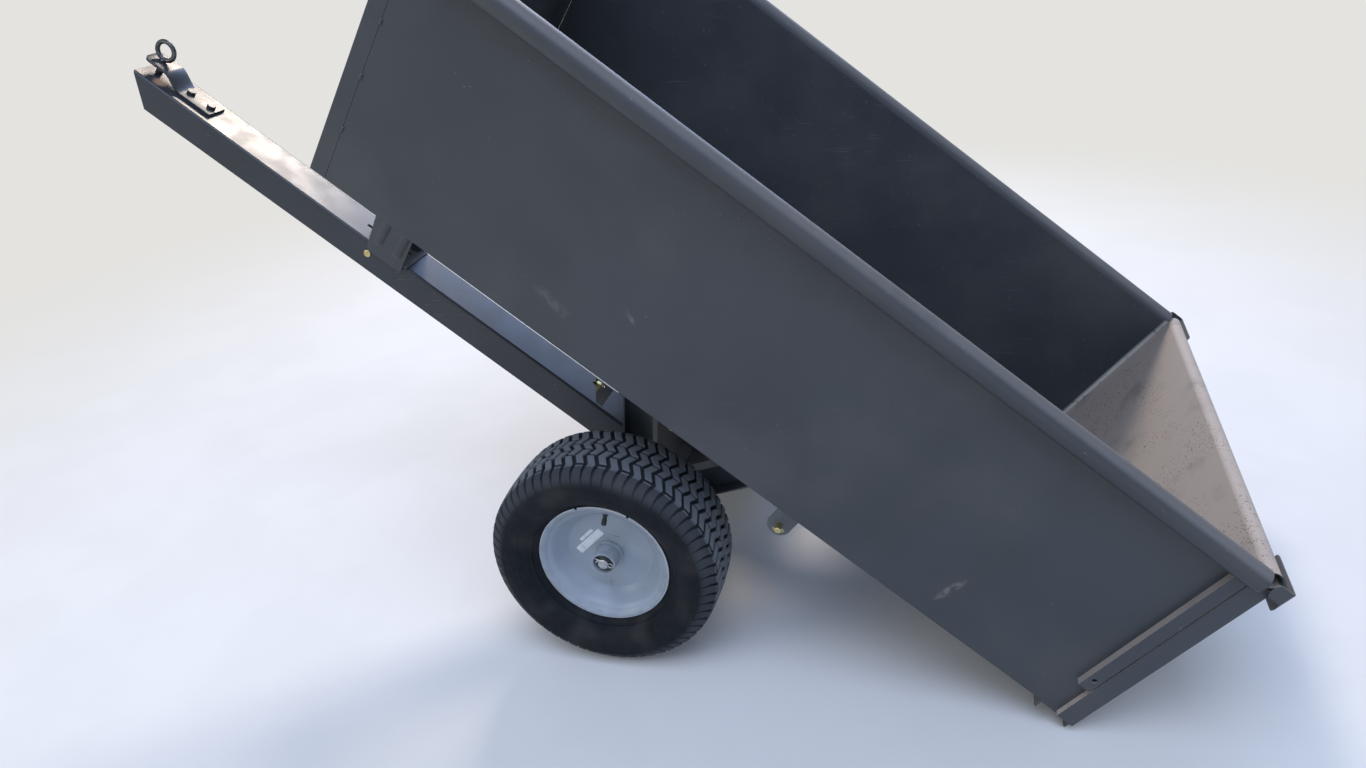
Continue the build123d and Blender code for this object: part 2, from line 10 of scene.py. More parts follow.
import bmesh
import bpy
import numpy as np
from numpy.typing import NDArray
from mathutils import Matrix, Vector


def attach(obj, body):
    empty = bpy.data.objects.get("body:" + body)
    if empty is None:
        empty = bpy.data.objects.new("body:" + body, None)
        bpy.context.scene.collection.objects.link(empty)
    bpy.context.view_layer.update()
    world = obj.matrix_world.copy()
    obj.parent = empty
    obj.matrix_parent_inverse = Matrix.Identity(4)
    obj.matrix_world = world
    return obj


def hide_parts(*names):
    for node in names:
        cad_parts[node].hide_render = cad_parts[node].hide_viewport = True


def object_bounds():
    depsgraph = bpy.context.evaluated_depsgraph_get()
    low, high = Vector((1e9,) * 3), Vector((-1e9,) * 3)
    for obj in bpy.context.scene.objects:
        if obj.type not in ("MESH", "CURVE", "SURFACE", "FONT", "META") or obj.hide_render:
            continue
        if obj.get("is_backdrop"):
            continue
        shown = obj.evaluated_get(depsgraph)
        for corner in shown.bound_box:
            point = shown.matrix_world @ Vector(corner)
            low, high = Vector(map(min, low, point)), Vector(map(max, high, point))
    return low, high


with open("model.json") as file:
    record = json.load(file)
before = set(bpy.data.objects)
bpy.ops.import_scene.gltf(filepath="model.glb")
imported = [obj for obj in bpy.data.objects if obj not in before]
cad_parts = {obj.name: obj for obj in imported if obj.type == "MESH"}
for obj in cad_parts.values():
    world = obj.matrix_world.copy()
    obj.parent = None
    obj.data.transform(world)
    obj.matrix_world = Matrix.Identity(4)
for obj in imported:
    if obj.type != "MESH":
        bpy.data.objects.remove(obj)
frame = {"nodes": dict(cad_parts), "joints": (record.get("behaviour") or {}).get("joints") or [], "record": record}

CAD_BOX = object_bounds()
MM = 0.001
LOG = logging.getLogger("dump_cart")
Points = NDArray[np.float64]
Faces = NDArray[np.int64]
Socket = bpy.types.NodeSocket
Pair = tuple[float, float]
Triple = tuple[float, float, float]
Y_AXIS = np.array([0.0, 1.0, 0.0])
# The left wheel's hub in level mm: ahead of the bed's rear edge, out to the left, below the floor's underside.
HUB_AHEAD, HUB_OUT, HUB_BELOW = 694.0, 338.0, 327.0


class Body(Enum):
    """The moving bodies that pieces ride on."""

    CART = "cart"
    TONGUE = "tongue"
    GATE = "tailgate"
    WHEEL_LEFT = "wheel_left"
    WHEEL_RIGHT = "wheel_right"


class Side(Enum):
    """The two sides of the cart, as the sign of y."""

    LEFT = 1
    RIGHT = -1

    @property
    def word(self) -> str:
        """The side as the names of pieces spell it."""
        return self.name.lower()

    @property
    def wheel(self) -> Body:
        """The wheel on that side."""
        return Body.WHEEL_LEFT if self is Side.LEFT else Body.WHEEL_RIGHT


# ---------------------------------------------------------------- places


@dataclass(frozen=True)
class LevelSpace:
    """The cart's own level directions as they stand when it is parked: u forward, y left, w up."""

    forward: Points
    up: Points
    origin: Points

    @classmethod
    def from_joints(cls, joints: list[dict]) -> "LevelSpace":
        """Reads the directions from the gate's slide and the left wheel's axle.

        Args:
            joints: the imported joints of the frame.

        Returns:
            The level space, whose origin is the bed's rear edge at the floor's underside.
        """
        known = {joint["name"]: joint for joint in joints}
        up = np.array(known["gate_slide"]["axis"], float)
        forward = np.array([up[2], 0.0, -up[0]])
        hub = np.array(known["wheel_left_spin"]["pos_m"], float)
        origin = hub - MM * (HUB_AHEAD * forward + HUB_OUT * Y_AXIS - HUB_BELOW * up)
        return cls(forward, up, origin)

    def to_row(self, points: Points) -> Points:
        """Level points (u, y, w) in mm, as row points in metres."""
        return self.origin + MM * (points @ np.stack([self.forward, Y_AXIS, self.up]))


@dataclass(frozen=True)
class WheelSpace:
    """A wheel's own directions: x forward, y out of the cart, z up, from the middle of its hub."""

    side: Side

    def to_row(self, points: Points) -> Points:
        """Wheel points in mm, as row points in metres; the right wheel is the left one mirrored.

        Args:
            points: the points in mm from the middle of the hub.

        Returns:
            The points in metres.
        """
        name = f"wheel_{self.side.word}_spin"
        centre = next(joint["pos_m"] for joint in frame["joints"] if joint["name"] == name)
        return np.array(centre) + MM * points * np.array([1.0, float(self.side.value), 1.0])


@dataclass(frozen=True)
class AxleSpace:
    """Row directions from the middle of the axle: x forward, y left, z up."""

    def to_row(self, points: Points) -> Points:
        """Points in mm from the middle of the axle, as row points in metres."""
        hub = WheelSpace(Side.LEFT).to_row(np.zeros(3))
        return np.array([hub[0], 0.0, hub[2]]) + MM * points


LEVEL = LevelSpace.from_joints(frame["joints"])
AXLE = AxleSpace()
UPRIGHT = np.array([[1.0, 0.0, 0.0], [0.0, 0.0, 1.0], [0.0, 1.0, 0.0]])


# ---------------------------------------------------------------- surfaces


@dataclass
class Shell:
    """A closed surface: points in mm and faces in groups with equal numbers of corners."""

    points: Points
    faces: list[Faces]

    def moved(self, shift: Triple, scale: Triple = (1, 1, 1)) -> "Shell":
        """The same surface scaled about its origin and then shifted."""
        return Shell(self.points * np.array(scale) + np.array(shift), self.faces)

    def turned(self, axes: Points) -> "Shell":
        """The same surface with its x, y and z carried to the rows of axes."""
        return Shell(self.points @ axes, self.faces)

    def mirrored(self) -> "Shell":
        """The same surface on the other side of the cart."""
        return self.moved((0, 0, 0), (1, -1, 1))


def grid_quads(rows: int, cols: int, wrap_rows: bool, wrap_cols: bool) -> Faces:
    """Quads between neighbours of a grid whose points are numbered row by row.

    Args:
        rows: number of rows of points.
        cols: number of points in a row.
        wrap_rows: whether the last row joins the first.
        wrap_cols: whether the last point of a row joins the first.

    Returns:
        The corners of each quad.
    """
    r = np.arange(rows if wrap_rows else rows - 1)[:, None]
    c = np.arange(cols if wrap_cols else cols - 1)[None, :]
    r1, c1 = (r + 1) % rows, (c + 1) % cols
    quads = np.stack([r * cols + c, r * cols + c1, r1 * cols + c1, r1 * cols + c], axis=-1)
    return quads.reshape(-1, 4)


def skin(grid: Points, wrap_rows: bool = False) -> Shell:
    """Surface through a grid of rings: ring i is grid[i], and its points join round in a loop.

    Args:
        grid: points, rings by points by 3.
        wrap_rows: whether the last ring joins the first; if not, both end rings are closed by a cap.

    Returns:
        The closed shell.
    """
    rows, cols = grid.shape[:2]
    faces = [grid_quads(rows, cols, wrap_rows, True)]
    if not wrap_rows:
        ends = np.stack([np.arange(cols), (rows - 1) * cols + np.arange(cols)])
        faces.append(ends)
    return Shell(grid.reshape(-1, 3), faces)


def lathe(profile: Points, turns: int = 96, closed: bool = False, angles: Points | None = None) -> Shell:
    """Surface of revolution about y: a profile point (y, r) at angle a is (r cos a, y, r sin a).

    Args:
        profile: the points (y, r) from one end to the other, or all round where closed.
        turns: number of angles round the axis.
        closed: whether the profile is a loop.
        angles: the angles themselves in radians, where they aren't evenly spread.

    Returns:
        The closed shell.
    """
    a = np.arange(turns) * 2 * np.pi / turns if angles is None else angles
    y, r = profile[:, 0, None], profile[:, 1, None]
    grid = np.stack([r * np.cos(a), y + 0 * a, r * np.sin(a)], axis=-1)
    return skin(grid, closed)


def wire(path: Points, radius: float, flat: Points, sides: int = 12, closed: bool = False) -> Shell:
    """Round wire along a flat path: path(t) + radius (cos a across(t) + sin a flat), across = tangent x flat.

    Args:
        path: points of the wire's middle line.
        radius: the wire's radius.
        flat: unit normal of the plane that the path lies in.
        sides: number of points round the wire.
        closed: whether the path is a loop.

    Returns:
        The closed shell.
    """
    if closed:
        tangent = np.roll(path, -1, axis=0) - np.roll(path, 1, axis=0)
    else:
        tangent = np.gradient(path, axis=0)
    tangent /= np.linalg.norm(tangent, axis=1, keepdims=True)
    across = np.cross(tangent, flat)
    a = (np.arange(sides) * 2 * np.pi / sides)[None, :, None]
    grid = path[:, None] + radius * (np.cos(a) * across[:, None] + np.sin(a) * flat)
    return skin(grid, closed)


def rounded(corners: list[Pair], cut: float, steps: int = 5, closed: bool = False) -> Points:
    """A line with its corners eased: corner p becomes (1-t)^2 a + 2t(1-t) p + t^2 b, a and b on its legs.

    Args:
        corners: the corners of the line.
        cut: how far from a corner its curve begins, where the legs are long enough.
        steps: points on each curve.
        closed: whether the line is a loop.

    Returns:
        The points of the eased line.
    """
    p = np.array(corners, float)
    before, after = np.roll(p, 1, axis=0) - p, np.roll(p, -1, axis=0) - p
    lb, la = np.linalg.norm(before, axis=1), np.linalg.norm(after, axis=1)
    reach = np.minimum(cut, 0.45 * np.minimum(lb, la))[:, None]
    a, b = p + before / lb[:, None] * reach, p + after / la[:, None] * reach
    t = np.linspace(0, 1, steps)[None, :, None]
    curves = (1 - t) ** 2 * a[:, None] + 2 * t * (1 - t) * p[:, None] + t**2 * b[:, None]
    if closed:
        return curves.reshape(-1, 2)
    return np.concatenate([p[:1], curves[1:-1].reshape(-1, 2), p[-1:]])


def arc_through(a: Points, b: Points, c: Points, steps: int) -> Points:
    """Points of the arc from a through b to c: the centre is where two bisectors meet.

    Args:
        a: first point.
        b: a point between.
        c: last point.
        steps: number of points.

    Returns:
        The points of the arc.
    """
    rows = 2 * np.stack([b - a, c - b])
    centre = np.linalg.solve(rows, np.array([b @ b - a @ a, c @ c - b @ b]))
    spokes = np.stack([a, b, c]) - centre
    angles = np.unwrap(np.arctan2(spokes[:, 1], spokes[:, 0]))
    t = np.linspace(angles[0], angles[2], steps)
    return centre + np.linalg.norm(spokes[0]) * np.stack([np.cos(t), np.sin(t)], axis=1)


def inset(line: Points, depth: float) -> Points:
    """A closed line drawn inward: a point moves by depth (n1 + n2) / (1 + n1.n2), n1 and n2 its sides' normals.

    Args:
        line: the points of the line, either way round.
        depth: how far in it is drawn.

    Returns:
        The points of the smaller line.
    """
    ahead = np.roll(line, -1, axis=0) - line
    ahead /= np.linalg.norm(ahead, axis=1, keepdims=True)
    behind = np.roll(ahead, 1, axis=0)
    area = float(np.sum(line[:, 0] * np.roll(line[:, 1], -1) - line[:, 1] * np.roll(line[:, 0], -1)))
    normals = np.stack([-(ahead + behind)[:, 1], (ahead + behind)[:, 0]], axis=1) * np.sign(area)
    return line + depth * normals / (1 + np.sum(ahead * behind, axis=1, keepdims=True))


def plate(line: Points, low: float, high: float, ease: float = 0.6) -> Shell:
    """Flat plate: its outline (x, z) at levels y from low to high, drawn in at both faces on a quarter round.

    Args:
        line: the closed outline.
        low: y of its one face.
        high: y of its other face.
        ease: radius of its rounded edges.

    Returns:
        The closed shell.
    """
    t = np.radians([0.0, 30.0, 60.0, 90.0])
    depth = np.concatenate([ease * (1 - np.sin(t)), ease * (1 - np.sin(t[::-1]))])
    level = np.concatenate([low + ease * (1 - np.cos(t)), high - ease * (1 - np.cos(t[::-1]))])
    rings = np.stack([inset(line, d) for d in depth])
    return skin(np.stack([rings[..., 0], level[:, None] + 0 * rings[..., 0], rings[..., 1]], axis=-1))


def hexagon(radius: float, low: float, high: float) -> Shell:
    """Nut or bolt head about z: r(a, h) is the lesser of the hexagon R cos 30 / cos(a mod 60 - 30) and a cone.

    Args:
        radius: R, from the middle to a corner.
        low: z of its flat face.
        high: z of its chamfered face.

    Returns:
        The closed shell.
    """
    a = np.arange(72) * 2 * np.pi / 72
    side = radius * np.cos(np.pi / 6) / np.cos(np.mod(a, np.pi / 3) - np.pi / 6)
    h = np.array([low, low + 0.5, high - 2.0, high - 1.1, high - 0.7, high - 0.35, high, high])[:, None]
    cone = 0.93 * radius * np.cos(np.pi / 6) + 1.6 * (high - h)
    r = np.minimum(side, cone) * np.array([1, 1, 1, 1, 1, 1, 1, 0.6])[:, None]
    return skin(np.stack([r * np.cos(a), r * np.sin(a), h + 0 * r], axis=-1))


def weld_ring(radius: float, y: float, size: float, ripples: int) -> Shell:
    """Fillet weld round the wheel's axis: a torus whose wire swells and shrinks ripples times a turn.

    Args:
        radius: from the axis to the middle of the bead.
        y: where it lies along the axis.
        size: radius of the bead.
        ripples: number of swells in a turn.

    Returns:
        The closed shell.
    """
    a = np.arange(ripples * 4) * 2 * np.pi / (ripples * 4)
    b = np.arange(10) * 2 * np.pi / 10
    thick = size * (1 + 0.13 * np.cos(ripples * a) + 0.08 * np.cos(3 * a + 1))[:, None]
    r = radius + thick * np.cos(b)
    grid = np.stack([r * np.cos(a)[:, None], y + thick * np.sin(b), r * np.sin(a)[:, None]], axis=-1)
    return skin(grid, True)


def weld_run(start: Points, end: Points, size: float, ripple: float = 4.0) -> Shell:
    """Straight weld between two points: a bead whose radius ripples along it and closes at both ends.

    Args:
        start: where the bead begins.
        end: where it ends.
        size: radius of the bead.
        ripple: mm from one swell to the next.

    Returns:
        The closed shell.
    """
    length = float(np.linalg.norm(end - start))
    t = np.linspace(0, 1, int(length / ripple) * 4 + 3)
    along = (end - start) / length
    side = np.cross(along, [0.31, 0.52, 0.79])
    side /= np.linalg.norm(side)
    other = np.cross(along, side)
    taper = np.sqrt(np.clip(1 - np.abs(2 * t - 1) ** 12, 0.01, 1))
    thick = (size * taper * (1 + 0.14 * np.cos(2 * np.pi * t * length / ripple)))[:, None, None]
    b = (np.arange(8) * 2 * np.pi / 8)[None, :, None]
    middle = start + t[:, None] * (end - start)
    return skin(middle[:, None] + thick * (np.cos(b) * side + np.sin(b) * other))


def make_piece(
    name: str,
    shells: list[Shell],
    space: LevelSpace | WheelSpace | AxleSpace,
    finish: "Finish",
    body: Body,
    slot: str,
    stands_for: tuple[str, ...] = (),
    crease: float = 32.0,
) -> bpy.types.Object:
    """Puts shells into one mesh in the row's frame, dresses it and lets it ride.

    Args:
        name: name of the piece.
        shells: its closed surfaces, in mm of the space.
        space: the space that the shells are drawn in.
        finish: what it is finished with.
        body: the body that it rides on.
        slot: the record's material slot; not used.
        stands_for: the CAD nodes that it replaces.
        crease: faces that meet at more than this many degrees keep a hard edge.

    Returns:
        The new object.
    """
    points = space.to_row(np.concatenate([shell.points for shell in shells]))
    starts = np.cumsum([0] + [len(shell.points) for shell in shells[:-1]])
    faces = [face for shell, s in zip(shells, starts) for group in shell.faces for face in (group + s).tolist()]
    mesh = bpy.data.meshes.new(name)
    mesh.from_pydata(points.tolist(), [], faces)
    work = bmesh.new()
    work.from_mesh(mesh)
    bmesh.ops.recalc_face_normals(work, faces=work.faces)
    work.to_mesh(mesh)
    work.free()
    mesh.shade_smooth()
    mesh.set_sharp_from_angle(angle=np.radians(crease))
    piece = bpy.data.objects.new(name, mesh)
    bpy.context.scene.collection.objects.link(piece)
    mesh.materials.append(finish.material())
    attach(piece, body.value)
    if stands_for:
        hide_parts(*stands_for)
    LOG.info("%s: %d points, %d faces, rides on %s", name, len(points), len(mesh.polygons), body.value)
    return piece


# ---------------------------------------------------------------- finishes


def linear(colour: str) -> tuple[float, float, float, float]:
    """A colour written as sRGB hex, as the linear colour that a shader takes.

    Args:
        colour: the colour as #RRGGBB.

    Returns:
        Linear red, green, blue and an alpha of 1.
    """
    parts = np.array([int(colour[i : i + 2], 16) for i in (1, 3, 5)]) / 255
    line = np.where(parts <= 0.04045, parts / 12.92, ((parts + 0.055) / 1.055) ** 2.4)
    return (*line.tolist(), 1.0)


def per_metre(size: float) -> float:
    """The scale of a texture whose features are about this many mm apart."""
    return 1.0 / (size * MM)


class Node(Enum):
    """Kinds of shader node: Blender's name, settings, inputs in their order of use, and the output that is used."""

    PLACE = ("ShaderNodeTexCoord", {}, (), "Object")
    FACING = ("ShaderNodeTexCoord", {}, (), "Normal")
    CAMERA_RAY = ("ShaderNodeLightPath", {}, (), "Is Camera Ray")
    GLOSSY_RAY = ("ShaderNodeLightPath", {}, (), "Is Glossy Ray")
    TRANSMISSION_RAY = ("ShaderNodeLightPath", {}, (), "Is Transmission Ray")
    SIDE_PART = ("ShaderNodeSeparateXYZ", {}, ("Vector",), "Y")
    UP_PART = ("ShaderNodeSeparateXYZ", {}, ("Vector",), "Z")
    LENGTH = ("ShaderNodeVectorMath", {"operation": "LENGTH"}, (0,), "Value")
    SHIFTED = ("ShaderNodeMapping", {}, ("Vector", "Location", "Rotation", "Scale"), 0)
    FITTED = ("ShaderNodeMapping", {"vector_type": "TEXTURE"}, ("Vector", "Location", "Rotation", "Scale"), 0)
    NOISE = ("ShaderNodeTexNoise", {}, ("Vector", "Scale", "Detail"), 0)
    RAMP = ("ShaderNodeMapRange", {"interpolation_type": "SMOOTHSTEP"}, ("Value", "From Min", "From Max", "To Max"), 0)
    SUM = ("ShaderNodeMath", {"operation": "ADD"}, (0, 1), 0)
    LESS = ("ShaderNodeMath", {"operation": "SUBTRACT"}, (0, 1), 0)
    TIMES = ("ShaderNodeMath", {"operation": "MULTIPLY"}, (0, 1), 0)
    GREATER = ("ShaderNodeMath", {"operation": "MAXIMUM"}, (0, 1), 0)
    SIZE = ("ShaderNodeMath", {"operation": "ABSOLUTE"}, (0,), 0)
    SINE = ("ShaderNodeMath", {"operation": "SINE"}, (0,), 0)
    BLEND = ("ShaderNodeMix", {"data_type": "RGBA"}, (0, 6, 7), 2)
    BUMP = ("ShaderNodeBump", {}, ("Height", "Distance", "Normal"), 0)
    SKIN = ("ShaderNodeBsdfPrincipled", {}, ("Base Color", "Roughness", "Normal", "Metallic", "Specular IOR Level"), 0)
    GLOW = ("ShaderNodeEmission", {}, ("Color", "Strength"), 0)
    EITHER = ("ShaderNodeMixShader", {}, (0, 1, 2), 0)
    OUTPUT = ("ShaderNodeOutputMaterial", {}, ("Surface",), None)


@dataclass(frozen=True)
class Cloud:
    """Cloudy blobs: about how many mm across, their detail, and the noise from low to high that makes 0 to top."""

    size: float
    detail: float
    low: float
    high: float
    top: float = 1.0


@dataclass(frozen=True)
class Grain:
    """Bump from blobs: about how many mm across, their detail, how many mm deep."""

    size: float
    detail: float
    depth: float


@dataclass(frozen=True)
class Streak:
    """Streaks: how many mm long and wide, turned by angles in degrees, where their noise is over low."""

    along: float
    across: float
    turn: Triple
    low: float
    soft: float = 0.03


class Sheet:
    """A material's node tree, with the patterns that the finishes share."""

    def __init__(self, name: str) -> None:
        """Starts an empty material that reads Object coordinates.

        Args:
            name: the material's name.
        """
        self.material = bpy.data.materials.new(name)
        self.material.use_nodes = True
        self.tree = self.material.node_tree
        self.tree.nodes.clear()
        self.place = self.add(Node.PLACE)

    def add(self, kind: Node, *values: object) -> Socket | None:
        """Adds a node with its settings and links.

        Args:
            kind: the kind of node.
            values: a number, hex colour or socket for each of its inputs in turn; None leaves one as it is.

        Returns:
            The output that the kind names, if it names one.
        """
        name, settings, inputs, output = kind.value
        node = self.tree.nodes.new(name)
        for key, value in settings.items():
            setattr(node, key, value)
        for key, value in zip(inputs, values):
            if isinstance(value, Socket):
                self.tree.links.new(value, node.inputs[key])
            elif value is not None:
                node.inputs[key].default_value = linear(value) if isinstance(value, str) else value
        return None if output is None else node.outputs[output]

    def patches(self, cloud: Cloud, top: float | None = None) -> Socket:
        """A cloud's strength, which reaches another top where one is given."""
        noise = self.add(Node.NOISE, self.place, per_metre(cloud.size), cloud.detail)
        return self.add(Node.RAMP, noise, cloud.low, cloud.high, cloud.top if top is None else top)

    def relief(self, grain: Grain, under: Socket | None = None) -> Socket:
        """A grain's bump, over another bump where one is given."""
        noise = self.add(Node.NOISE, self.place, per_metre(grain.size), grain.detail)
        return self.add(Node.BUMP, noise, grain.depth * MM, under)

    def streaks(self, streak: Streak) -> Socket:
        """Noise drawn out along one direction.

        Args:
            streak: the streaks.

        Returns:
            1 on a streak and 0 beside it.
        """
        scale = (per_metre(streak.along), per_metre(streak.across), per_metre(streak.across))
        drawn_out = self.add(Node.SHIFTED, self.place, None, tuple(np.radians(streak.turn)), scale)
        noise = self.add(Node.NOISE, drawn_out, 1.0, 2.0)
        return self.add(Node.RAMP, noise, streak.low, streak.low + streak.soft)

    def radius(self, centre: Triple) -> Socket:
        """Distance in metres from the y-directed axis through a point."""
        shift = (-centre[0], 0.0, -centre[2])
        return self.add(Node.LENGTH, self.add(Node.SHIFTED, self.place, shift, None, (1, 0, 1)))

    def mark(self, mark: "Mark", ragged: float, broken: float = 0.36) -> Socket:
        """A patch that is whole in the middle of a mark and fades towards its edge.

        Args:
            mark: the mark.
            ragged: size in mm of the blobs that break it up.
            broken: noise under which it is broken away; it is whole from 0.24 above that.

        Returns:
            The mark's strength in its middle and 0 outside it.
        """
        half = tuple(MM * size for size in mark.half)
        turn = (0.0, np.radians(mark.turn_deg), 0.0)
        far = self.add(Node.LENGTH, self.add(Node.FITTED, self.place, mark.place, turn, half))
        shape = self.add(Node.RAMP, far, 1.0, mark.core, mark.strength)
        return self.add(Node.TIMES, shape, self.patches(Cloud(ragged, 4, broken, broken + 0.24)))

    def finished(self, *skin: object) -> bpy.types.Material:
        """The material, its shader's colour, roughness, normal, metallic and specular level set in that order."""
        self.add(Node.OUTPUT, self.add(Node.SKIN, *skin))
        return self.material


class Finish:
    """A finish, which makes its material once and hands out the same one after that."""

    name: str

    def material(self) -> bpy.types.Material:
        """The finish's material, made at its first use."""
        return bpy.data.materials.get(self.name) or self.make()

    def make(self) -> bpy.types.Material:
        """Makes the material."""
        raise NotImplementedError


@dataclass(frozen=True)
class Mark:
    """An oblong mark: its middle in metres, its turn about y, half its sizes in mm, its strength, its whole core."""

    place: Triple
    turn_deg: float
    half: Triple
    strength: float = 1.0
    core: float = 0.35


def level_mark(place: Triple, turn_deg: float, half: Triple, strength: float) -> Mark:
    """A mark placed in level mm (u, y, w) and turned by an angle above the cart's own forward direction."""
    tip = float(np.degrees(np.arctan2(LEVEL.forward[2], LEVEL.forward[0])))
    return Mark(tuple(LEVEL.to_row(np.array(place)).tolist()), -tip - turn_deg, half, strength)


@dataclass(frozen=True)
class PowderCoat(Finish):
    """Charcoal polyester powder, sprayed on sheet steel and baked: even and satin, faintly orange-peeled."""

    name: str
    colour: str
    shade: str
    dust: str = "#857F76"
    # Pale colour for faces that look up: settled dust and painted sunlight.
    settled: str = "#9C9893"
    bare: str = "#8E9092"
    soil: str = "#6B5443"
    roughness: float = 0.38
    dusting: float = 0.08
    settling: float = 0.1
    grains: float = 0.12
    scratching: float = 0.55
    # Metres from the middle plane to the side panels' inner faces, and half the width of the change there.
    inside: float = 0.4188
    edge: float = 0.0006
    outside_share: float = 0.3
    facing_up: Pair = (0.3, 0.72)
    holding_grains: Pair = (0.1, 0.5)
    dusty_roughness: float = 0.35
    clouds: Cloud = Cloud(150, 3, 0.35, 0.65)
    film: Cloud = Cloud(190, 5, 0.42, 0.75)
    specks: Cloud = Cloud(5, 1, 0.765, 0.79, 0.55)
    thinner: Cloud = Cloud(75, 5, 0.0, 0.5)
    clods: Cloud = Cloud(4, 5, 0.56, 0.66)
    strewn: Cloud = Cloud(95, 3, 0.4, 0.62)
    scraped: Cloud = Cloud(210, 3, 0.47, 0.6)
    sheen: Cloud = Cloud(40, 3, 0.3, 0.7, 0.08)
    wave: Grain = Grain(230, 1, 0.9)
    peel: Grain = Grain(1.6, 1, 0.03)
    # Real scratches are some 0.1 mm wide; these are drawn 0.8 to 0.9 mm wide so that they show.
    long: Streak = Streak(110, 0.9, (0, -38, 14), 0.72)
    cross: Streak = Streak(60, 0.8, (20, 55, -8), 0.73)
    scuffs: tuple[Mark, ...] = ()
    scuff_ragged: float = 14.0
    # Pale marks in the colour under: painted highlights and painted light where light catches an edge or reaches a
    # face.
    bared: tuple[Mark, ...] = ()
    bared_ragged: float = 12.0
    bared_broken: float = 0.2
    under: str = "#C39A7C"

    def make(self) -> bpy.types.Material:
        """Two near greys, dust and painted sunlight on faces that look up, specks, soil, scratches where the load rubs,
        painted light at marks.

        Returns:
            The material.
        """
        sheet = Sheet(self.name)
        add, patches = sheet.add, sheet.patches
        colour = add(Node.BLEND, patches(self.clouds), self.colour, self.shade)
        film = patches(self.film, self.dusting)
        colour = add(Node.BLEND, add(Node.GREATER, film, patches(self.specks)), colour, self.dust)
        rise = add(Node.UP_PART, add(Node.FACING))
        # Faces that look up are painted pale: settled dust and painted sunlight, thinned in patches.
        settled = add(Node.TIMES, add(Node.RAMP, rise, *self.facing_up, self.settling), patches(self.thinner))
        colour = add(Node.BLEND, settled, colour, self.settled)
        bits = add(Node.TIMES, patches(self.clods), patches(self.strewn))
        bits = add(Node.TIMES, bits, add(Node.RAMP, rise, *self.holding_grains, self.grains))
        colour = add(Node.BLEND, bits, colour, self.soil)
        aside = add(Node.SIZE, add(Node.SIDE_PART, sheet.place))
        rubbed = add(Node.RAMP, aside, self.inside + self.edge, self.inside - self.edge, self.scratching)
        rubbed = add(Node.SUM, rubbed, self.outside_share * self.scratching)
        where = add(Node.TIMES, patches(self.scraped), rubbed)
        scratches = add(Node.GREATER, sheet.streaks(self.long), sheet.streaks(self.cross))
        colour = add(Node.BLEND, add(Node.TIMES, scratches, where), colour, self.bare)
        for scuff in self.scuffs:
            colour = add(Node.BLEND, sheet.mark(scuff, self.scuff_ragged), colour, self.dust)
        # Painted light: pale marks in the colour under.
        for spot in self.bared:
            bare = sheet.mark(spot, self.bared_ragged, self.bared_broken)
            colour = add(Node.BLEND, bare, colour, self.under)
        rough = add(Node.SUM, patches(self.sheen), self.roughness)
        dusty = add(Node.TIMES, add(Node.GREATER, film, settled), self.dusty_roughness)
        normal = sheet.relief(self.peel, sheet.relief(self.wave))
        return sheet.finished(colour, add(Node.SUM, rough, dusty), normal)


@dataclass(frozen=True)
class WheelEnamel(Finish):
    """Silver-grey enamel sprayed over a pressed and rolled wheel: smoother than powder, rust at its nicks."""

    name: str
    centre: Triple
    scratch: Mark
    weld_dent: Mark
    colour: str = "#98A2AC"
    shade: str = "#909AA5"
    grime: str = "#5F5C54"
    rust: str = "#8F6A50"
    polished: str = "#DADEE2"
    # Radii in metres: where the darkening by the hub ends and how soft it is, the dish's corner, the lip's edge.
    hub_grime: float = 0.034
    hub_soft: float = 0.012
    dish_corner: Pair = (0.096, 0.112)
    lip: Pair = (0.1148, 0.1165)
    hub_dirt: float = 0.4
    corner_dirt: float = 0.28
    lip_polish: float = 0.85
    clouds: Cloud = Cloud(90, 2, 0.3, 0.7)
    smears: Cloud = Cloud(26, 5, 0.35, 0.7)
    patchy: Cloud = Cloud(30, 4, 0.2, 0.5)
    nicks: Cloud = Cloud(7, 3, 0.735, 0.765, 0.8)
    scratch_ragged: float = 5.0
    roughness: float = 0.3
    # The enamel's metal flake is under 0.1 mm; it is drawn 0.9 mm apart so that it shows.
    flake: Cloud = Cloud(0.9, 1, 0.3, 0.7, 0.08)
    wave: Grain = Grain(120, 1, 0.5)
    dent_depth: float = 1.2
    dent_ragged: float = 60.0
    peel: Grain = Grain(2.2, 1, 0.012)

    def make(self) -> bpy.types.Material:
        """Faint clouds, darker in the dish's corner and by the hub, a painted highlight round the lip, few nicks.

        Returns:
            The material.
        """
        sheet = Sheet(self.name)
        add, patches = sheet.add, sheet.patches
        colour = add(Node.BLEND, patches(self.clouds), self.colour, self.shade)
        radius = sheet.radius(self.centre)
        # Darker towards the hub and from the dish's corner outward.
        hub = add(Node.RAMP, add(Node.LESS, self.hub_grime, radius), 0.0, self.hub_soft, self.hub_dirt)
        corner = add(Node.RAMP, radius, *self.dish_corner, self.corner_dirt)
        darkening = add(Node.TIMES, add(Node.GREATER, hub, corner), patches(self.smears))
        colour = add(Node.BLEND, darkening, colour, self.grime)
        # Painted highlight: a pale ring round the lip.
        edge = add(Node.TIMES, add(Node.RAMP, radius, *self.lip, self.lip_polish), patches(self.patchy))
        colour = add(Node.BLEND, edge, colour, self.polished)
        worn = add(Node.GREATER, patches(self.nicks), sheet.mark(self.scratch, self.scratch_ragged))
        colour = add(Node.BLEND, worn, colour, self.rust)
        rough = add(Node.SUM, patches(self.flake), self.roughness)
        dent = sheet.mark(self.weld_dent, self.dent_ragged)
        normal = add(Node.BUMP, dent, -self.dent_depth * MM, sheet.relief(self.wave))
        return sheet.finished(colour, rough, sheet.relief(self.peel, normal))


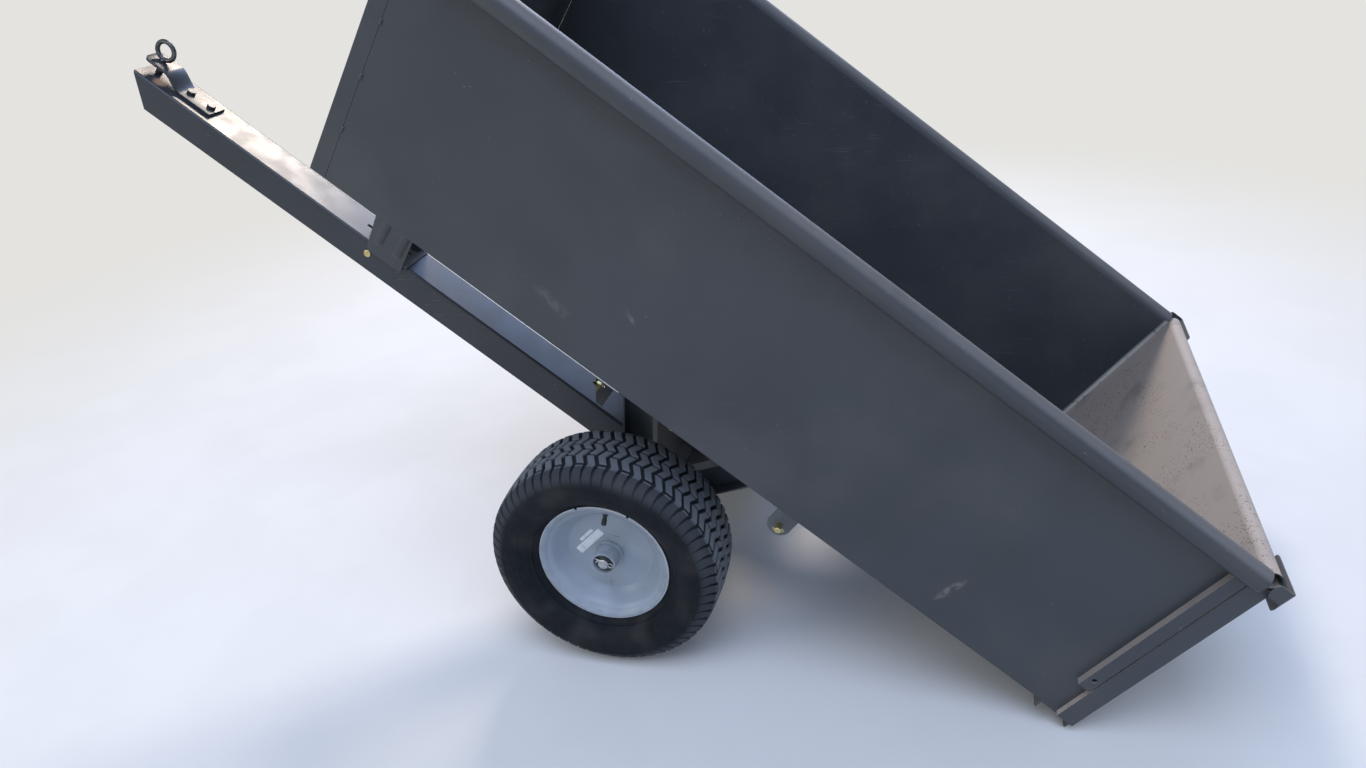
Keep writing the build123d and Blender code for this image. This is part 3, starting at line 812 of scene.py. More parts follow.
@dataclass(frozen=True)
class TyreRubber(Finish):
    """Carbon black rubber, moulded and vulcanised: dark walls, tread tops gone grey with wear and yard dust."""

    name: str
    centre: Triple
    colour: str = "#080E15"
    worn: str = "#696F74"
    dust: str = "#66635D"
    # Radii in metres: the blocks' worn tops, and the blocks' ends on the wall.
    tops: Pair = (0.199, 0.2042)
    lugs: Pair = (0.172, 0.19)
    wall_grey: float = 0.22
    dusty: Cloud = Cloud(48, 5, 0.45, 0.75, 0.13)
    scuffed: Cloud = Cloud(4, 4, 0.57, 0.7, 0.6)
    roughness: float = 0.66
    sheen: Cloud = Cloud(12, 3, 0.3, 0.7, 0.15)
    # Mould rings are some 0.5 mm apart and pores 0.3 mm; both are drawn coarser so that they show.
    ring_pitch: float = 2.4
    ring_depth: float = 0.012
    pores: Grain = Grain(1.1, 2, 0.08)
    lumps: Grain = Grain(16, 3, 0.3)
    specular: float = 0.28

    def make(self) -> bpy.types.Material:
        """Grey only on the blocks' tops, thin dust on the wall, mould rings and pores as bump.

        Returns:
            The material.
        """
        sheet = Sheet(self.name)
        add, patches = sheet.add, sheet.patches
        radius = sheet.radius(self.centre)
        top = add(Node.RAMP, radius, *self.tops)
        lug = add(Node.RAMP, radius, *self.lugs, self.wall_grey)
        colour = add(Node.BLEND, add(Node.GREATER, top, lug), self.colour, self.worn)
        colour = add(Node.BLEND, patches(self.dusty), colour, self.dust)
        colour = add(Node.BLEND, add(Node.TIMES, patches(self.scuffed), top), colour, self.dust)
        rough = add(Node.SUM, patches(self.sheen), self.roughness)
        rings = add(Node.SINE, add(Node.TIMES, radius, 2 * np.pi / (self.ring_pitch * MM)))
        normal = sheet.relief(self.pores, add(Node.BUMP, rings, self.ring_depth * MM))
        return sheet.finished(colour, rough, sheet.relief(self.lumps, normal), None, self.specular)


@dataclass(frozen=True)
class YellowZinc(Finish):
    """Steel plated with zinc and dipped in yellow chromate: gold with a faint rainbow, dulled at the edges."""

    name: str = "yellow_chromate_on_zinc_plate"
    colour: str = "#CFC68C"
    tint: str = "#C4AE78"
    cool: str = "#B3BD93"
    dull: str = "#7D7660"
    rose: Cloud = Cloud(6, 3, 0.35, 0.65)
    green: Cloud = Cloud(9, 2, 0.55, 0.75, 0.6)
    spots: Cloud = Cloud(3, 5, 0.6, 0.72, 0.7)
    roughness: float = 0.3
    spot_roughness: float = 0.25
    metallic: float = 0.9
    # Turning marks are some 0.2 mm apart; they are drawn 0.8 mm apart so that they show.
    turning: Grain = Grain(0.8, 2, 0.03)

    def make(self) -> bpy.types.Material:
        """Gold that drifts to rose and green, with dull spots and turning marks.

        Returns:
            The material.
        """
        sheet = Sheet(self.name)
        add, patches = sheet.add, sheet.patches
        colour = add(Node.BLEND, patches(self.rose), self.colour, self.tint)
        colour = add(Node.BLEND, patches(self.green), colour, self.cool)
        spots = patches(self.spots)
        colour = add(Node.BLEND, spots, colour, self.dull)
        rough = add(Node.SUM, add(Node.TIMES, spots, self.spot_roughness), self.roughness)
        return sheet.finished(colour, rough, sheet.relief(self.turning), self.metallic)


@dataclass(frozen=True)
class DrawnSteel(Finish):
    """Cold drawn bar, cut and turned, oiled and left bare: grey metal with brown bloom where the oil has gone."""

    name: str = "cold_drawn_bare_steel"
    colour: str = "#63676A"
    bloom: str = "#5A4231"
    oil: str = "#3A3B3C"
    rusting: Cloud = Cloud(5, 6, 0.58, 0.72, 0.5)
    oiled: Cloud = Cloud(11, 4, 0.4, 0.7, 0.7)
    roughness: float = 0.34
    rust_roughness: float = 0.4
    # Drawing and turning marks are some 0.2 mm apart; they are drawn 0.7 mm apart so that they show.
    turning: Grain = Grain(0.7, 3, 0.05)

    def make(self) -> bpy.types.Material:
        """Grey metal, oil shadows, a bloom of rust that isn't metallic, fine turning marks.

        Returns:
            The material.
        """
        sheet = Sheet(self.name)
        add, patches = sheet.add, sheet.patches
        colour = add(Node.BLEND, patches(self.oiled), self.colour, self.oil)
        rust = patches(self.rusting)
        colour = add(Node.BLEND, rust, colour, self.bloom)
        rough = add(Node.SUM, add(Node.TIMES, rust, self.rust_roughness), self.roughness)
        return sheet.finished(colour, rough, sheet.relief(self.turning), add(Node.LESS, 1.0, rust))


@dataclass(frozen=True)
class ValveRubber(Finish):
    """Moulded black rubber of a snap-in valve with a plastic cap, a little grey from dust."""

    name: str = "moulded_valve_rubber"
    colour: str = "#17181A"
    dust: str = "#4B4A47"
    dusty: Cloud = Cloud(4, 4, 0.5, 0.75, 0.4)
    sheen: Cloud = Cloud(3, 2, 0.3, 0.7, 0.2)
    roughness: float = 0.45
    grain: Grain = Grain(0.6, 2, 0.04)

    def make(self) -> bpy.types.Material:
        """Black with dust in small patches and a soft grain.

        Returns:
            The material.
        """
        sheet = Sheet(self.name)
        colour = sheet.add(Node.BLEND, sheet.patches(self.dusty), self.colour, self.dust)
        rough = sheet.add(Node.SUM, sheet.patches(self.sheen), self.roughness)
        return sheet.finished(colour, rough, sheet.relief(self.grain))


@dataclass(frozen=True)
class BlankVinyl(Finish):
    """White vinyl label stock, die cut and rolled on by hand, blank, with grime in its creases."""

    name: str = "white_vinyl_label_stock"
    colour: str = "#D9DDE2"
    grime: str = "#9FA2A2"
    smears: Cloud = Cloud(14, 5, 0.45, 0.75, 0.6)
    sheen: Cloud = Cloud(8, 2, 0.3, 0.7, 0.15)
    roughness: float = 0.38
    creases: Grain = Grain(7, 2, 0.12)

    def make(self) -> bpy.types.Material:
        """Near white with soft grey smears and shallow creases.

        Returns:
            The material.
        """
        sheet = Sheet(self.name)
        colour = sheet.add(Node.BLEND, sheet.patches(self.smears), self.colour, self.grime)
        rough = sheet.add(Node.SUM, sheet.patches(self.sheen), self.roughness)
        return sheet.finished(colour, rough, sheet.relief(self.creases))


def wheel_centre(side: Side) -> Triple:
    """The middle of a wheel's hub in metres."""
    return tuple(WheelSpace(side).to_row(np.zeros(3)).tolist())


# Marks on a wheel's dish, in wheel mm: x and z of the middle, turn about y, half sizes.
RUSTY_SCRATCH = (-12.0, 33.0, -13.0, (23.0, 4.0, 1.9))
WELD_DENT = (6.0, -72.0, 86.0, (10.0, 20.0, 2.6))
DISH_Y = 15.0


def enamel(side: Side) -> WheelEnamel:
    """The enamel of one wheel, with the rusty scratch and the weld dent of its dish.

    Args:
        side: the side that the wheel is on.

    Returns:
        The finish.
    """
    marks = []
    for x, z, turn, half in (RUSTY_SCRATCH, WELD_DENT):
        place = WheelSpace(side).to_row(np.array([x, DISH_Y, z]))
        marks.append(Mark(tuple(place.tolist()), turn, half))
    return WheelEnamel(f"silver_enamel_on_pressed_wheel_{side.word}", wheel_centre(side), *marks)


# Pale rubbed spots on the left side panel, and a pale warm patch on the tongue's top under the strap's nose, painted
# light where light reaches it.
SCUFFS = (
    level_mark((269, 420, 64), -80, (38, 3, 9), 0.5),
    level_mark((905, 420, 118), 30, (16, 3, 5), 0.35),
    level_mark((1010, 418, 60), 10, (60, 4, 16), 0.25),
)
PAINTED_LIGHT_UNDER_STRAP = (level_mark((1906, 22, -312), 0, (17, 21, 3), 0.85),)
# The panels' rear inner edges, painted as bright lines: painted highlights where light catches the edges.
PAINTED_EDGE_HIGHLIGHTS = tuple(level_mark((2.0, y, 195), 0, (11, 3.5, 420), 1.0) for y in (-416.5, 416.5))
# Faces that look up, such as the rolled rims' tops, are painted pale with dust and painted sunlight; the rear inner
# edges carry painted highlights.
BED_COAT = PowderCoat(
    "charcoal_powder_coat_on_bed_sheet",
    "#3A3E42",
    "#363A3E",
    settling=0.3,
    scuffs=SCUFFS,
    bared=PAINTED_EDGE_HIGHLIGHTS,
    under="#D6D2C8",
)
# The gate's inner face is painted pale where it looks up: dried soil with painted sunlight.
GATE_COAT = PowderCoat(
    "charcoal_powder_coat_under_dried_soil",
    "#3E4246",
    "#3A3E43",
    settled="#BDB0A3",
    settling=0.84,
    grains=0.8,
)
# The guides' up-facing ledges are painted pale: dust with a painted sunlit edge.
GUIDE_COAT = PowderCoat(
    "charcoal_powder_coat_on_dusty_ledges",
    "#3C4045",
    "#383C41",
    settled="#B9AEA4",
    settling=0.6,
)
# Lighter than the bed's grey and under a thick pale grey film, though one paint: painted light on the struts and lugs
# in the shade under the bed.
STRUT_COAT = PowderCoat(
    "charcoal_powder_coat_under_road_dust",
    "#4A5056",
    "#454B51",
    dust="#8B8E8F",
    dusting=0.55,
)
# Darker than the bed's grey, though one paint: painted shade on the tongue and the parts that share its coat.
TONGUE_COAT = PowderCoat(
    "charcoal_powder_coat_on_pressed_channel",
    "#2D3239",
    "#292E35",
    dusting=0.03,
    settling=0.04,
    wave=Grain(230, 1, 0.1),
    bared=PAINTED_LIGHT_UNDER_STRAP,
    roughness=0.32,
)
GOLD = YellowZinc()
SILVER = YellowZinc("clear_chromate_on_zinc_plate", "#BFC1C1", "#A9ABAC", "#B4AE9F", "#7B7B78")
STEEL = DrawnSteel()
VALVE_RUBBER = ValveRubber()
BLANK_VINYL = BlankVinyl()
ENAMEL = {side: enamel(side) for side in Side}
RUBBER = {side: TyreRubber(f"moulded_tyre_rubber_{side.word}", wheel_centre(side)) for side in Side}
SLOT_FINISH: dict[str, Finish] = {
    "bed_paint": BED_COAT,
    "tongue_paint": TONGUE_COAT,
    "yellow_zinc": GOLD,
    "axle_steel": SILVER,
    "valve_rubber": VALVE_RUBBER,
}
NODE_FINISH: dict[str, Finish] = {
    "gate_panel": GATE_COAT,
    "gate_guide_left": GUIDE_COAT,
    "gate_guide_right": GUIDE_COAT,
    "axle_strut_left": STRUT_COAT,
    "axle_strut_right": STRUT_COAT,
    "floor_lugs": STRUT_COAT,
    "axle_spacers": STEEL,
}


# ---------------------------------------------------------------- wheels


@dataclass
class Tyre:
    """Pneumatic tyre: a carcass of revolution under 64 zig-zag bands of tread blocks that wrap on to the sidewalls."""

    crown: float = 206.0
    edge: Pair = (58.0, 203.0)
    shoulder: Pair = (74.0, 187.0)
    belly: Pair = (81.0, 159.0)
    swell: Pair = (57.7, 126.3)
    seat: tuple[Pair, ...] = ((49.7, 118.3), (49.7, 113.0), (40.7, 101.3), (28.7, 101.3))
    liner: tuple[Pair, ...] = ((45.7, 126.3), (72.0, 159.0), (58.0, 186.0))
    bands: int = 64
    groove_s: tuple[float, ...] = (56.0, 70.0, 80.0, 86.0, 92.0, 95.0)
    groove: tuple[float, ...] = (7.5, 5.0, 2.6, 1.5, 0.7, 0.0)
    lug_end: float = 92.0
    cuts: tuple[float, ...] = (26.0, -10.0, -52.5)
    cut_half: float = 3.0
    bevel: float = 0.8
    zig_s: tuple[float, ...] = (8.0, 29.0, 53.0, 68.0, 80.0, 92.0)
    zig_deg: tuple[float, ...] = (1.5, -1.5, 1.4, 0.1, -0.1, 0.4)
    half_deg: tuple[float, ...] = (1.75, 1.75, 1.85, 2.1, 2.35, 2.55)
    extra_s: tuple[float, ...] = (58.0, 63.0, 74.0, 86.0)
    flank_deg: float = 0.16
    bevel_deg: float = 0.28
    root: float = 0.8
    ring_radii: tuple[float, ...] = (174.5, 151.0, 129.0)
    ring_heights: tuple[float, ...] = (1.0, 0.9, 1.3)
    ring_widths: tuple[float, ...] = (1.3, 0.9, 2.0)

    def __post_init__(self) -> None:
        """Works out the outer line from toe to toe: its run s from the middle, points and outward normals."""
        edge = np.array(self.edge)
        bow = (edge[0] ** 2 + (self.crown - edge[1]) ** 2) / (2 * (self.crown - edge[1]))
        y = np.linspace(0, edge[0], 60)
        top = np.stack([y, self.crown - bow + np.sqrt(bow**2 - y**2)], axis=1)
        wall = arc_through(np.array(self.shoulder), np.array(self.belly), np.array(self.swell), 90)
        half = np.concatenate([top, wall, np.array(self.seat)])
        line = np.concatenate([half[::-1] * [-1, 1], half[1:]])
        run = np.concatenate([[0], np.cumsum(np.linalg.norm(np.diff(line, axis=0), axis=1))])
        self.run = np.arange(-run[-1] / 2, run[-1] / 2, 0.5)
        even = np.stack([np.interp(self.run, run - run[-1] / 2, line[:, i]) for i in (0, 1)], axis=1)
        inner = np.clip((np.abs(self.run) - 88) / 8, 0, 1)[:, None]
        self.line = self.softened(even, 4.0) * (1 - inner) + self.softened(even, 1.5) * inner
        tangent = np.gradient(self.line, axis=0)
        tangent /= np.linalg.norm(tangent, axis=1, keepdims=True)
        self.normal = np.stack([-tangent[:, 1], tangent[:, 0]], axis=1)

    @staticmethod
    def softened(line: Points, width: float) -> Points:
        """The line's points, half a mm apart, averaged with Gaussian weights of this many mm.

        Args:
            line: the points, half a mm apart.
            width: standard deviation of the weights.

        Returns:
            The averaged points.
        """
        reach = int(8 * width)
        weights = np.exp(-0.5 * (np.arange(-reach, reach + 1) * 0.5 / width) ** 2)
        padded = np.pad(line, ((reach, reach), (0, 0)), mode="reflect", reflect_type="odd")
        return np.stack([np.convolve(padded[:, i], weights / weights.sum(), "valid") for i in (0, 1)], axis=1)

    def depth(self, s: Points) -> Points:
        """Depth of the grooves below the outer line, fading out down the sidewall."""
        return np.interp(np.abs(s), self.groove_s, self.groove)

    def run_at(self, radius: float) -> float:
        """The run s at which the left sidewall passes a radius."""
        wall = self.run > self.lug_end - 12
        return float(np.interp(-radius, -self.line[wall, 1], self.run[wall]))

    def surface(self, s: Points, angle: Points, depth: Points) -> Points:
        """Points at run s and an angle in radians, so many mm below the outer line along its normal.

        Args:
            s: run along the outer line.
            angle: angle round the axle, from x towards z.
            depth: mm below the outer line; less than zero stands proud of it.

        Returns:
            The points, one for each of the broadcast entries.
        """
        s, angle, depth = np.broadcast_arrays(s, angle, depth)
        y = np.interp(s, self.run, self.line[:, 0]) - depth * np.interp(s, self.run, self.normal[:, 0])
        r = np.interp(s, self.run, self.line[:, 1]) - depth * np.interp(s, self.run, self.normal[:, 1])
        return np.stack([r * np.cos(angle), y, r * np.sin(angle)], axis=-1)

    def carcass(self) -> Shell:
        """The closed body under the tread: outer line less the groove depth, mould rings, liner inside.

        Returns:
            The closed shell.
        """
        rings = np.array([self.run_at(radius) for radius in self.ring_radii])
        fine = (rings[:, None] + np.linspace(-3, 3, 9) * np.array(self.ring_widths)[:, None]).ravel()
        half = np.unique(np.concatenate([np.arange(0, self.run[-1], 3.0), fine, [self.run[-1]]]))
        s = np.concatenate([-half[:0:-1], half])
        bell = np.exp(-(((np.abs(s)[:, None] - rings) / np.array(self.ring_widths)) ** 2))
        sunk = self.depth(s) - (bell * np.array(self.ring_heights)).sum(axis=1)
        outer = self.surface(s, np.zeros(1), sunk)[:, [1, 0]]
        liner = np.array(self.liner)
        return lathe(np.concatenate([outer, liner, liner[::-1] * [-1, 1]]), 192, True)

    def block(self, low: float, high: float, shift: float) -> Shell:
        """One block repeated round the tyre: a bar of six-sided sections along the zig-zag from low to high.

        Args:
            low: run s of its one end.
            high: run s of its other end.
            shift: angle of the band in degrees.

        Returns:
            All the blocks of that kind, each closed by a cap at both ends.
        """
        knots = np.array(self.zig_s + self.extra_s)
        knots = np.concatenate([-knots, knots])
        inner = knots[(knots > low + 2.5) & (knots < high - 2.5)]
        s = np.sort(np.concatenate([inner, [low, low + self.bevel, high - self.bevel, high]]))
        zig = np.sign(s) * np.interp(np.abs(s), (0.0,) + self.zig_s, (0.0,) + self.zig_deg)
        half = np.interp(np.abs(s), self.zig_s, self.half_deg)
        deep = self.depth(s)
        ease = np.minimum(self.bevel, 0.5 * deep)
        top = np.where((s == low) | (s == high), ease, 0.0)
        f, e = self.flank_deg, self.bevel_deg
        across = np.stack([-half - f, -half, e - half, half - e, half, half + f], axis=1)
        level = np.stack([deep + self.root, ease, top, top, ease, deep + self.root], axis=1)
        pitch = 720.0 / self.bands
        turn = np.arange(self.bands // 2)[:, None, None] * pitch
        angle = np.radians(turn + shift + (zig[:, None] + across))
        points = self.surface(s[:, None], angle, level)
        rows = len(s)
        offsets = (np.arange(self.bands // 2) * rows * 6)[:, None, None]
        sides = (grid_quads(rows, 6, False, True) + offsets).reshape(-1, 4)
        ends = (np.stack([np.arange(6), (rows - 1) * 6 + np.arange(6)]) + offsets).reshape(-1, 6)
        return Shell(points.reshape(-1, 3), [sides, ends])

    def build(self, side: Side) -> None:
        """Makes one tyre: the carcass and both kinds of band, the second kind cut where the first is whole.

        Args:
            side: the side that it is on.
        """
        shells = [self.carcass()]
        for sign in (1, -1):
            marks = sorted([sign * cut for cut in self.cuts])
            lows = [-self.lug_end] + [mark + self.cut_half for mark in marks]
            highs = [mark - self.cut_half for mark in marks] + [self.lug_end]
            shift = 0.0 if sign == 1 else 360.0 / self.bands
            shells += [self.block(low, high, shift) for low, high in zip(lows, highs)]
        space, old = WheelSpace(side), (f"wheel_{side.word}_tyre",)
        make_piece(f"tyre_{side.word}", shells, space, RUBBER[side], side.wheel, "tyre", old, 22.0)


@dataclass
class Wheel:
    """Pressed wheel: flanged barrel, dished disc, welded hub tube, snap-in valve and a blank label."""

    half_barrel: tuple[Pair, ...] = (
        (0.0, 98.0),
        (40.0, 98.0),
        (50.4, 108.5),
        (53.0, 112.5),
        (53.0, 116.2),
        (51.6, 118.0),
        (50.2, 116.4),
        (49.9, 113.2),
        (41.5, 103.2),
        (38.0, 101.0),
        (0.0, 101.0),
    )
    dish: tuple[Pair, ...] = (
        (47.5, 106.5),
        (44.5, 101.4),
        (40.0, 97.0),
        (24.0, 87.5),
        (13.6, 78.0),
        (13.0, 74.0),
        (13.0, 28.0),
        (14.5, 24.6),
        (21.5, 22.2),
    )
    sheet: float = 3.0
    hub_welds: tuple[tuple[float, float, float, int], ...] = ((23.0, 21.5, 2.2, 46), (23.0, 17.0, 1.8, 40))
    hub: float = 22.0
    hub_half: float = 53.0
    recess: float = 18.5
    recess_depth: float = 9.0
    bore: float = 9.58
    notch_deg: tuple[float, ...] = (72.0, 118.0)
    notch: float = 3.2
    notch_root: float = 113.0
    stem: tuple[Pair, ...] = (
        (-1.5, 1.0),
        (-1.5, 5.6),
        (0.8, 5.4),
        (3.6, 3.7),
        (8.5, 3.5),
        (9.0, 4.4),
        (18.6, 4.3),
        (20.0, 3.4),
        (20.1, 0.8),
    )
    cap: Pair = (9.2, 19.2)
    cap_ribs: int = 14
    cap_rib: float = 0.035
    valve_foot: Pair = (33.5, 92.75)
    valve_lean: Pair = (0.541, -0.841)
    valve_deg: float = 95.3
    label_places: tuple[tuple[float, float, float, float], ...] = ((36.0, 16.6, 33.0, 7.2), (41.2, 28.9, 17.5, 2.9))
    label_turn_deg: float = 135.0
    label_levels: Pair = (12.9, 13.25)

    def angles(self) -> Points:
        """Angles round the wheel, closer together at the notches in its lip.

        Returns:
            The angles in radians.
        """
        even = np.arange(0, 360, 2.5)
        near = (np.array(self.notch_deg)[:, None] + np.array([-1.3, -0.8, -0.5, 0.0, 0.5, 0.8, 1.3])).ravel()
        clear = np.abs(even[:, None] - np.array(self.notch_deg)).min(axis=1) > 1.8
        return np.radians(np.sort(np.concatenate([even[clear], near])))

    def barrel(self) -> Shell:
        """Rolled barrel with an upturned lip at each side, notched through the near lip.

        Returns:
            The closed shell.
        """
        half, root = list(self.half_barrel), self.notch_root
        right = [(-y, r) for y, r in half[::-1]][1:-1]
        shell = lathe(rounded(half + right, 2.2, 5, True), closed=True, angles=self.angles())
        x, y, z = shell.points.T
        r, angle = np.hypot(x, z), np.degrees(np.arctan2(z, x))
        gap = np.abs(angle[:, None] - np.array(self.notch_deg)).min(axis=1)
        dip = np.where((y > 45) & (r > root), self.notch * np.clip(1.3 - gap, 0, 0.6) / 0.6, 0.0)
        keep = np.maximum(r - dip, np.minimum(r, root)) / r
        return Shell(np.stack([x * keep, y, z * keep], axis=1), shell.faces)

    def disc(self) -> Shell:
        """Deep dished disc: bowl, flat bottom and a collar that rises to the hub, three mm thick."""
        back = [(y - self.sheet, r) for y, r in self.dish[::-1]]
        return lathe(rounded(list(self.dish) + back, 6.0, 6, True), 120, True)

    def tube(self) -> Shell:
        """Hub tube: bored for the axle, with an eased recess turned into each end.

        Returns:
            The closed shell.
        """
        end, face = self.hub_half, self.hub_half - self.recess_depth
        half = [(0.0, self.hub), (end, self.hub), (end, self.recess)]
        half += [(face, self.recess), (face, self.bore), (0.0, self.bore)]
        mirror = [(-y, r) for y, r in half[::-1]][1:-1]
        return lathe(rounded(half + mirror, 0.9, 4, True), 72, True)

    def valve(self) -> Shell:
        """Rubber stem square to the dish's slope, waisted above its foot, its cap's radius times 1 + ribs cos 14 a.

        Returns:
            The closed shell.
        """
        shell = lathe(rounded(list(self.stem), 0.7), 56)
        a = np.arctan2(shell.points[:, 2], shell.points[:, 0])
        capped = (shell.points[:, 1] > self.cap[0]) & (shell.points[:, 1] < self.cap[1])
        swell = 1 + np.where(capped, self.cap_rib * np.cos(self.cap_ribs * a), 0.0)
        turn = np.radians(self.valve_deg)
        out = np.array([np.cos(turn), 0.0, np.sin(turn)])
        side = np.array([-np.sin(turn), 0.0, np.cos(turn)])
        along = self.valve_lean[0] * Y_AXIS + self.valve_lean[1] * out
        foot = self.valve_foot[0] * Y_AXIS + self.valve_foot[1] * out
        ribbed = Shell(shell.points * np.stack([swell, 1 + 0 * swell, swell], axis=1), shell.faces)
        return ribbed.turned(np.stack([side, along, np.cross(side, along)])).moved(tuple(foot))

    def label(self, place: tuple[float, float, float, float]) -> Shell:
        """Blank label on the dish: a thin plate with rounded corners, turned to run up and back.

        Args:
            place: middle x and z on the disc, half length, half width.

        Returns:
            The closed plate.
        """
        x0, z0, length, width = place
        corners = [(length, width), (-length, width), (-length, -width), (length, -width)]
        c, s = np.cos(np.radians(self.label_turn_deg)), np.sin(np.radians(self.label_turn_deg))
        line = rounded(corners, 1.6, 5, True) @ np.array([[c, s], [-s, c]]) + np.array([x0, z0])
        return plate(line, *self.label_levels, 0.12)

    def build(self, side: Side) -> None:
        """Makes the pieces of one wheel.

        Args:
            side: the side that it is on.
        """
        labels = [self.label(place) for place in self.label_places]
        hub = [self.tube()] + [weld_ring(*weld) for weld in self.hub_welds]
        for name, shells, finish, slot in (
            ("rim", [self.barrel(), self.disc()], ENAMEL[side], "wheel_paint"),
            ("hub", hub, ENAMEL[side], "wheel_paint"),
            ("valve", [self.valve()], VALVE_RUBBER, "valve_rubber"),
            ("blank_label", labels, BLANK_VINYL, "wheel_paint"),
        ):
            stands_for = () if name == "blank_label" else (f"wheel_{side.word}_{name}",)
            make_piece(f"{name}_{side.word}", shells, WheelSpace(side), finish, side.wheel, slot, stands_for)


@dataclass
class SplitPin:
    """Split pin: a bent wire with an eye at one end and two legs, one straight and one turned aside."""

    wire_radius: float = 1.5
    eye: float = 4.6
    reach: float = 17.0
    turn_deg: float = 22.0

    def shell(self) -> Shell:
        """The wire in the plane across y: an eye behind, then two legs forward, all turned up about y.

        Returns:
            The closed shell.
        """
        r, e, reach = self.wire_radius, self.eye, self.reach
        a = np.linspace(-np.radians(155), np.radians(155), 28)
        loop = np.stack([e - reach - e * np.cos(a), 0 * a, e * 0.8 * np.sin(a)], axis=1)
        t = np.linspace(0, 1, 12)[:, None]
        upper = loop[-1:] * (1 - t) + np.array([[reach, 0, r * 0.8]]) * t
        bent = loop[:1] * (1 - t) + np.array([[reach * 0.65, 0, -r * 0.8]]) * t
        tail = np.array([[0.74, 0.0, -0.13], [0.8, 0.0, -0.25], [0.84, 0.0, -0.38]]) * reach
        path = np.concatenate([tail[::-1], bent[::-1], loop[1:-1], upper])
        c, s = np.cos(np.radians(self.turn_deg)), np.sin(np.radians(self.turn_deg))
        axes = np.array([[c, 0, s], [0, 1, 0], [-s, 0, c]])
        return wire(path, r, Y_AXIS).turned(axes)


@dataclass
class AxleBar:
    """Axle bar with turned ends and a split pin through each."""

    radius: float = 9.5
    half: float = 393.1
    chamfer: float = 1.4
    centre_hole: float = 1.8
    pin_y: float = 387.1

    def build(self) -> None:
        """Makes the bar and both split pins, which stay with the cart."""
        r, end = self.radius, self.half
        tip = [(end - self.chamfer, r), (end, r - self.chamfer), (end, self.centre_hole), (end - 2.0, 0.3)]
        line = [(-y, radius) for y, radius in tip[::-1]] + tip
        make_piece("axle_bar", [lathe(np.array(line), 72)], AXLE, SILVER, Body.CART, "axle_steel", ("axle_shaft",))
        left = SplitPin().shell().moved((0, self.pin_y, 0))
        pins = [left, left.mirrored()]
        make_piece("split_pins", pins, AXLE, SILVER, Body.CART, "axle_steel", ("axle_cotters",))


# ---------------------------------------------------------------- tongue and latch


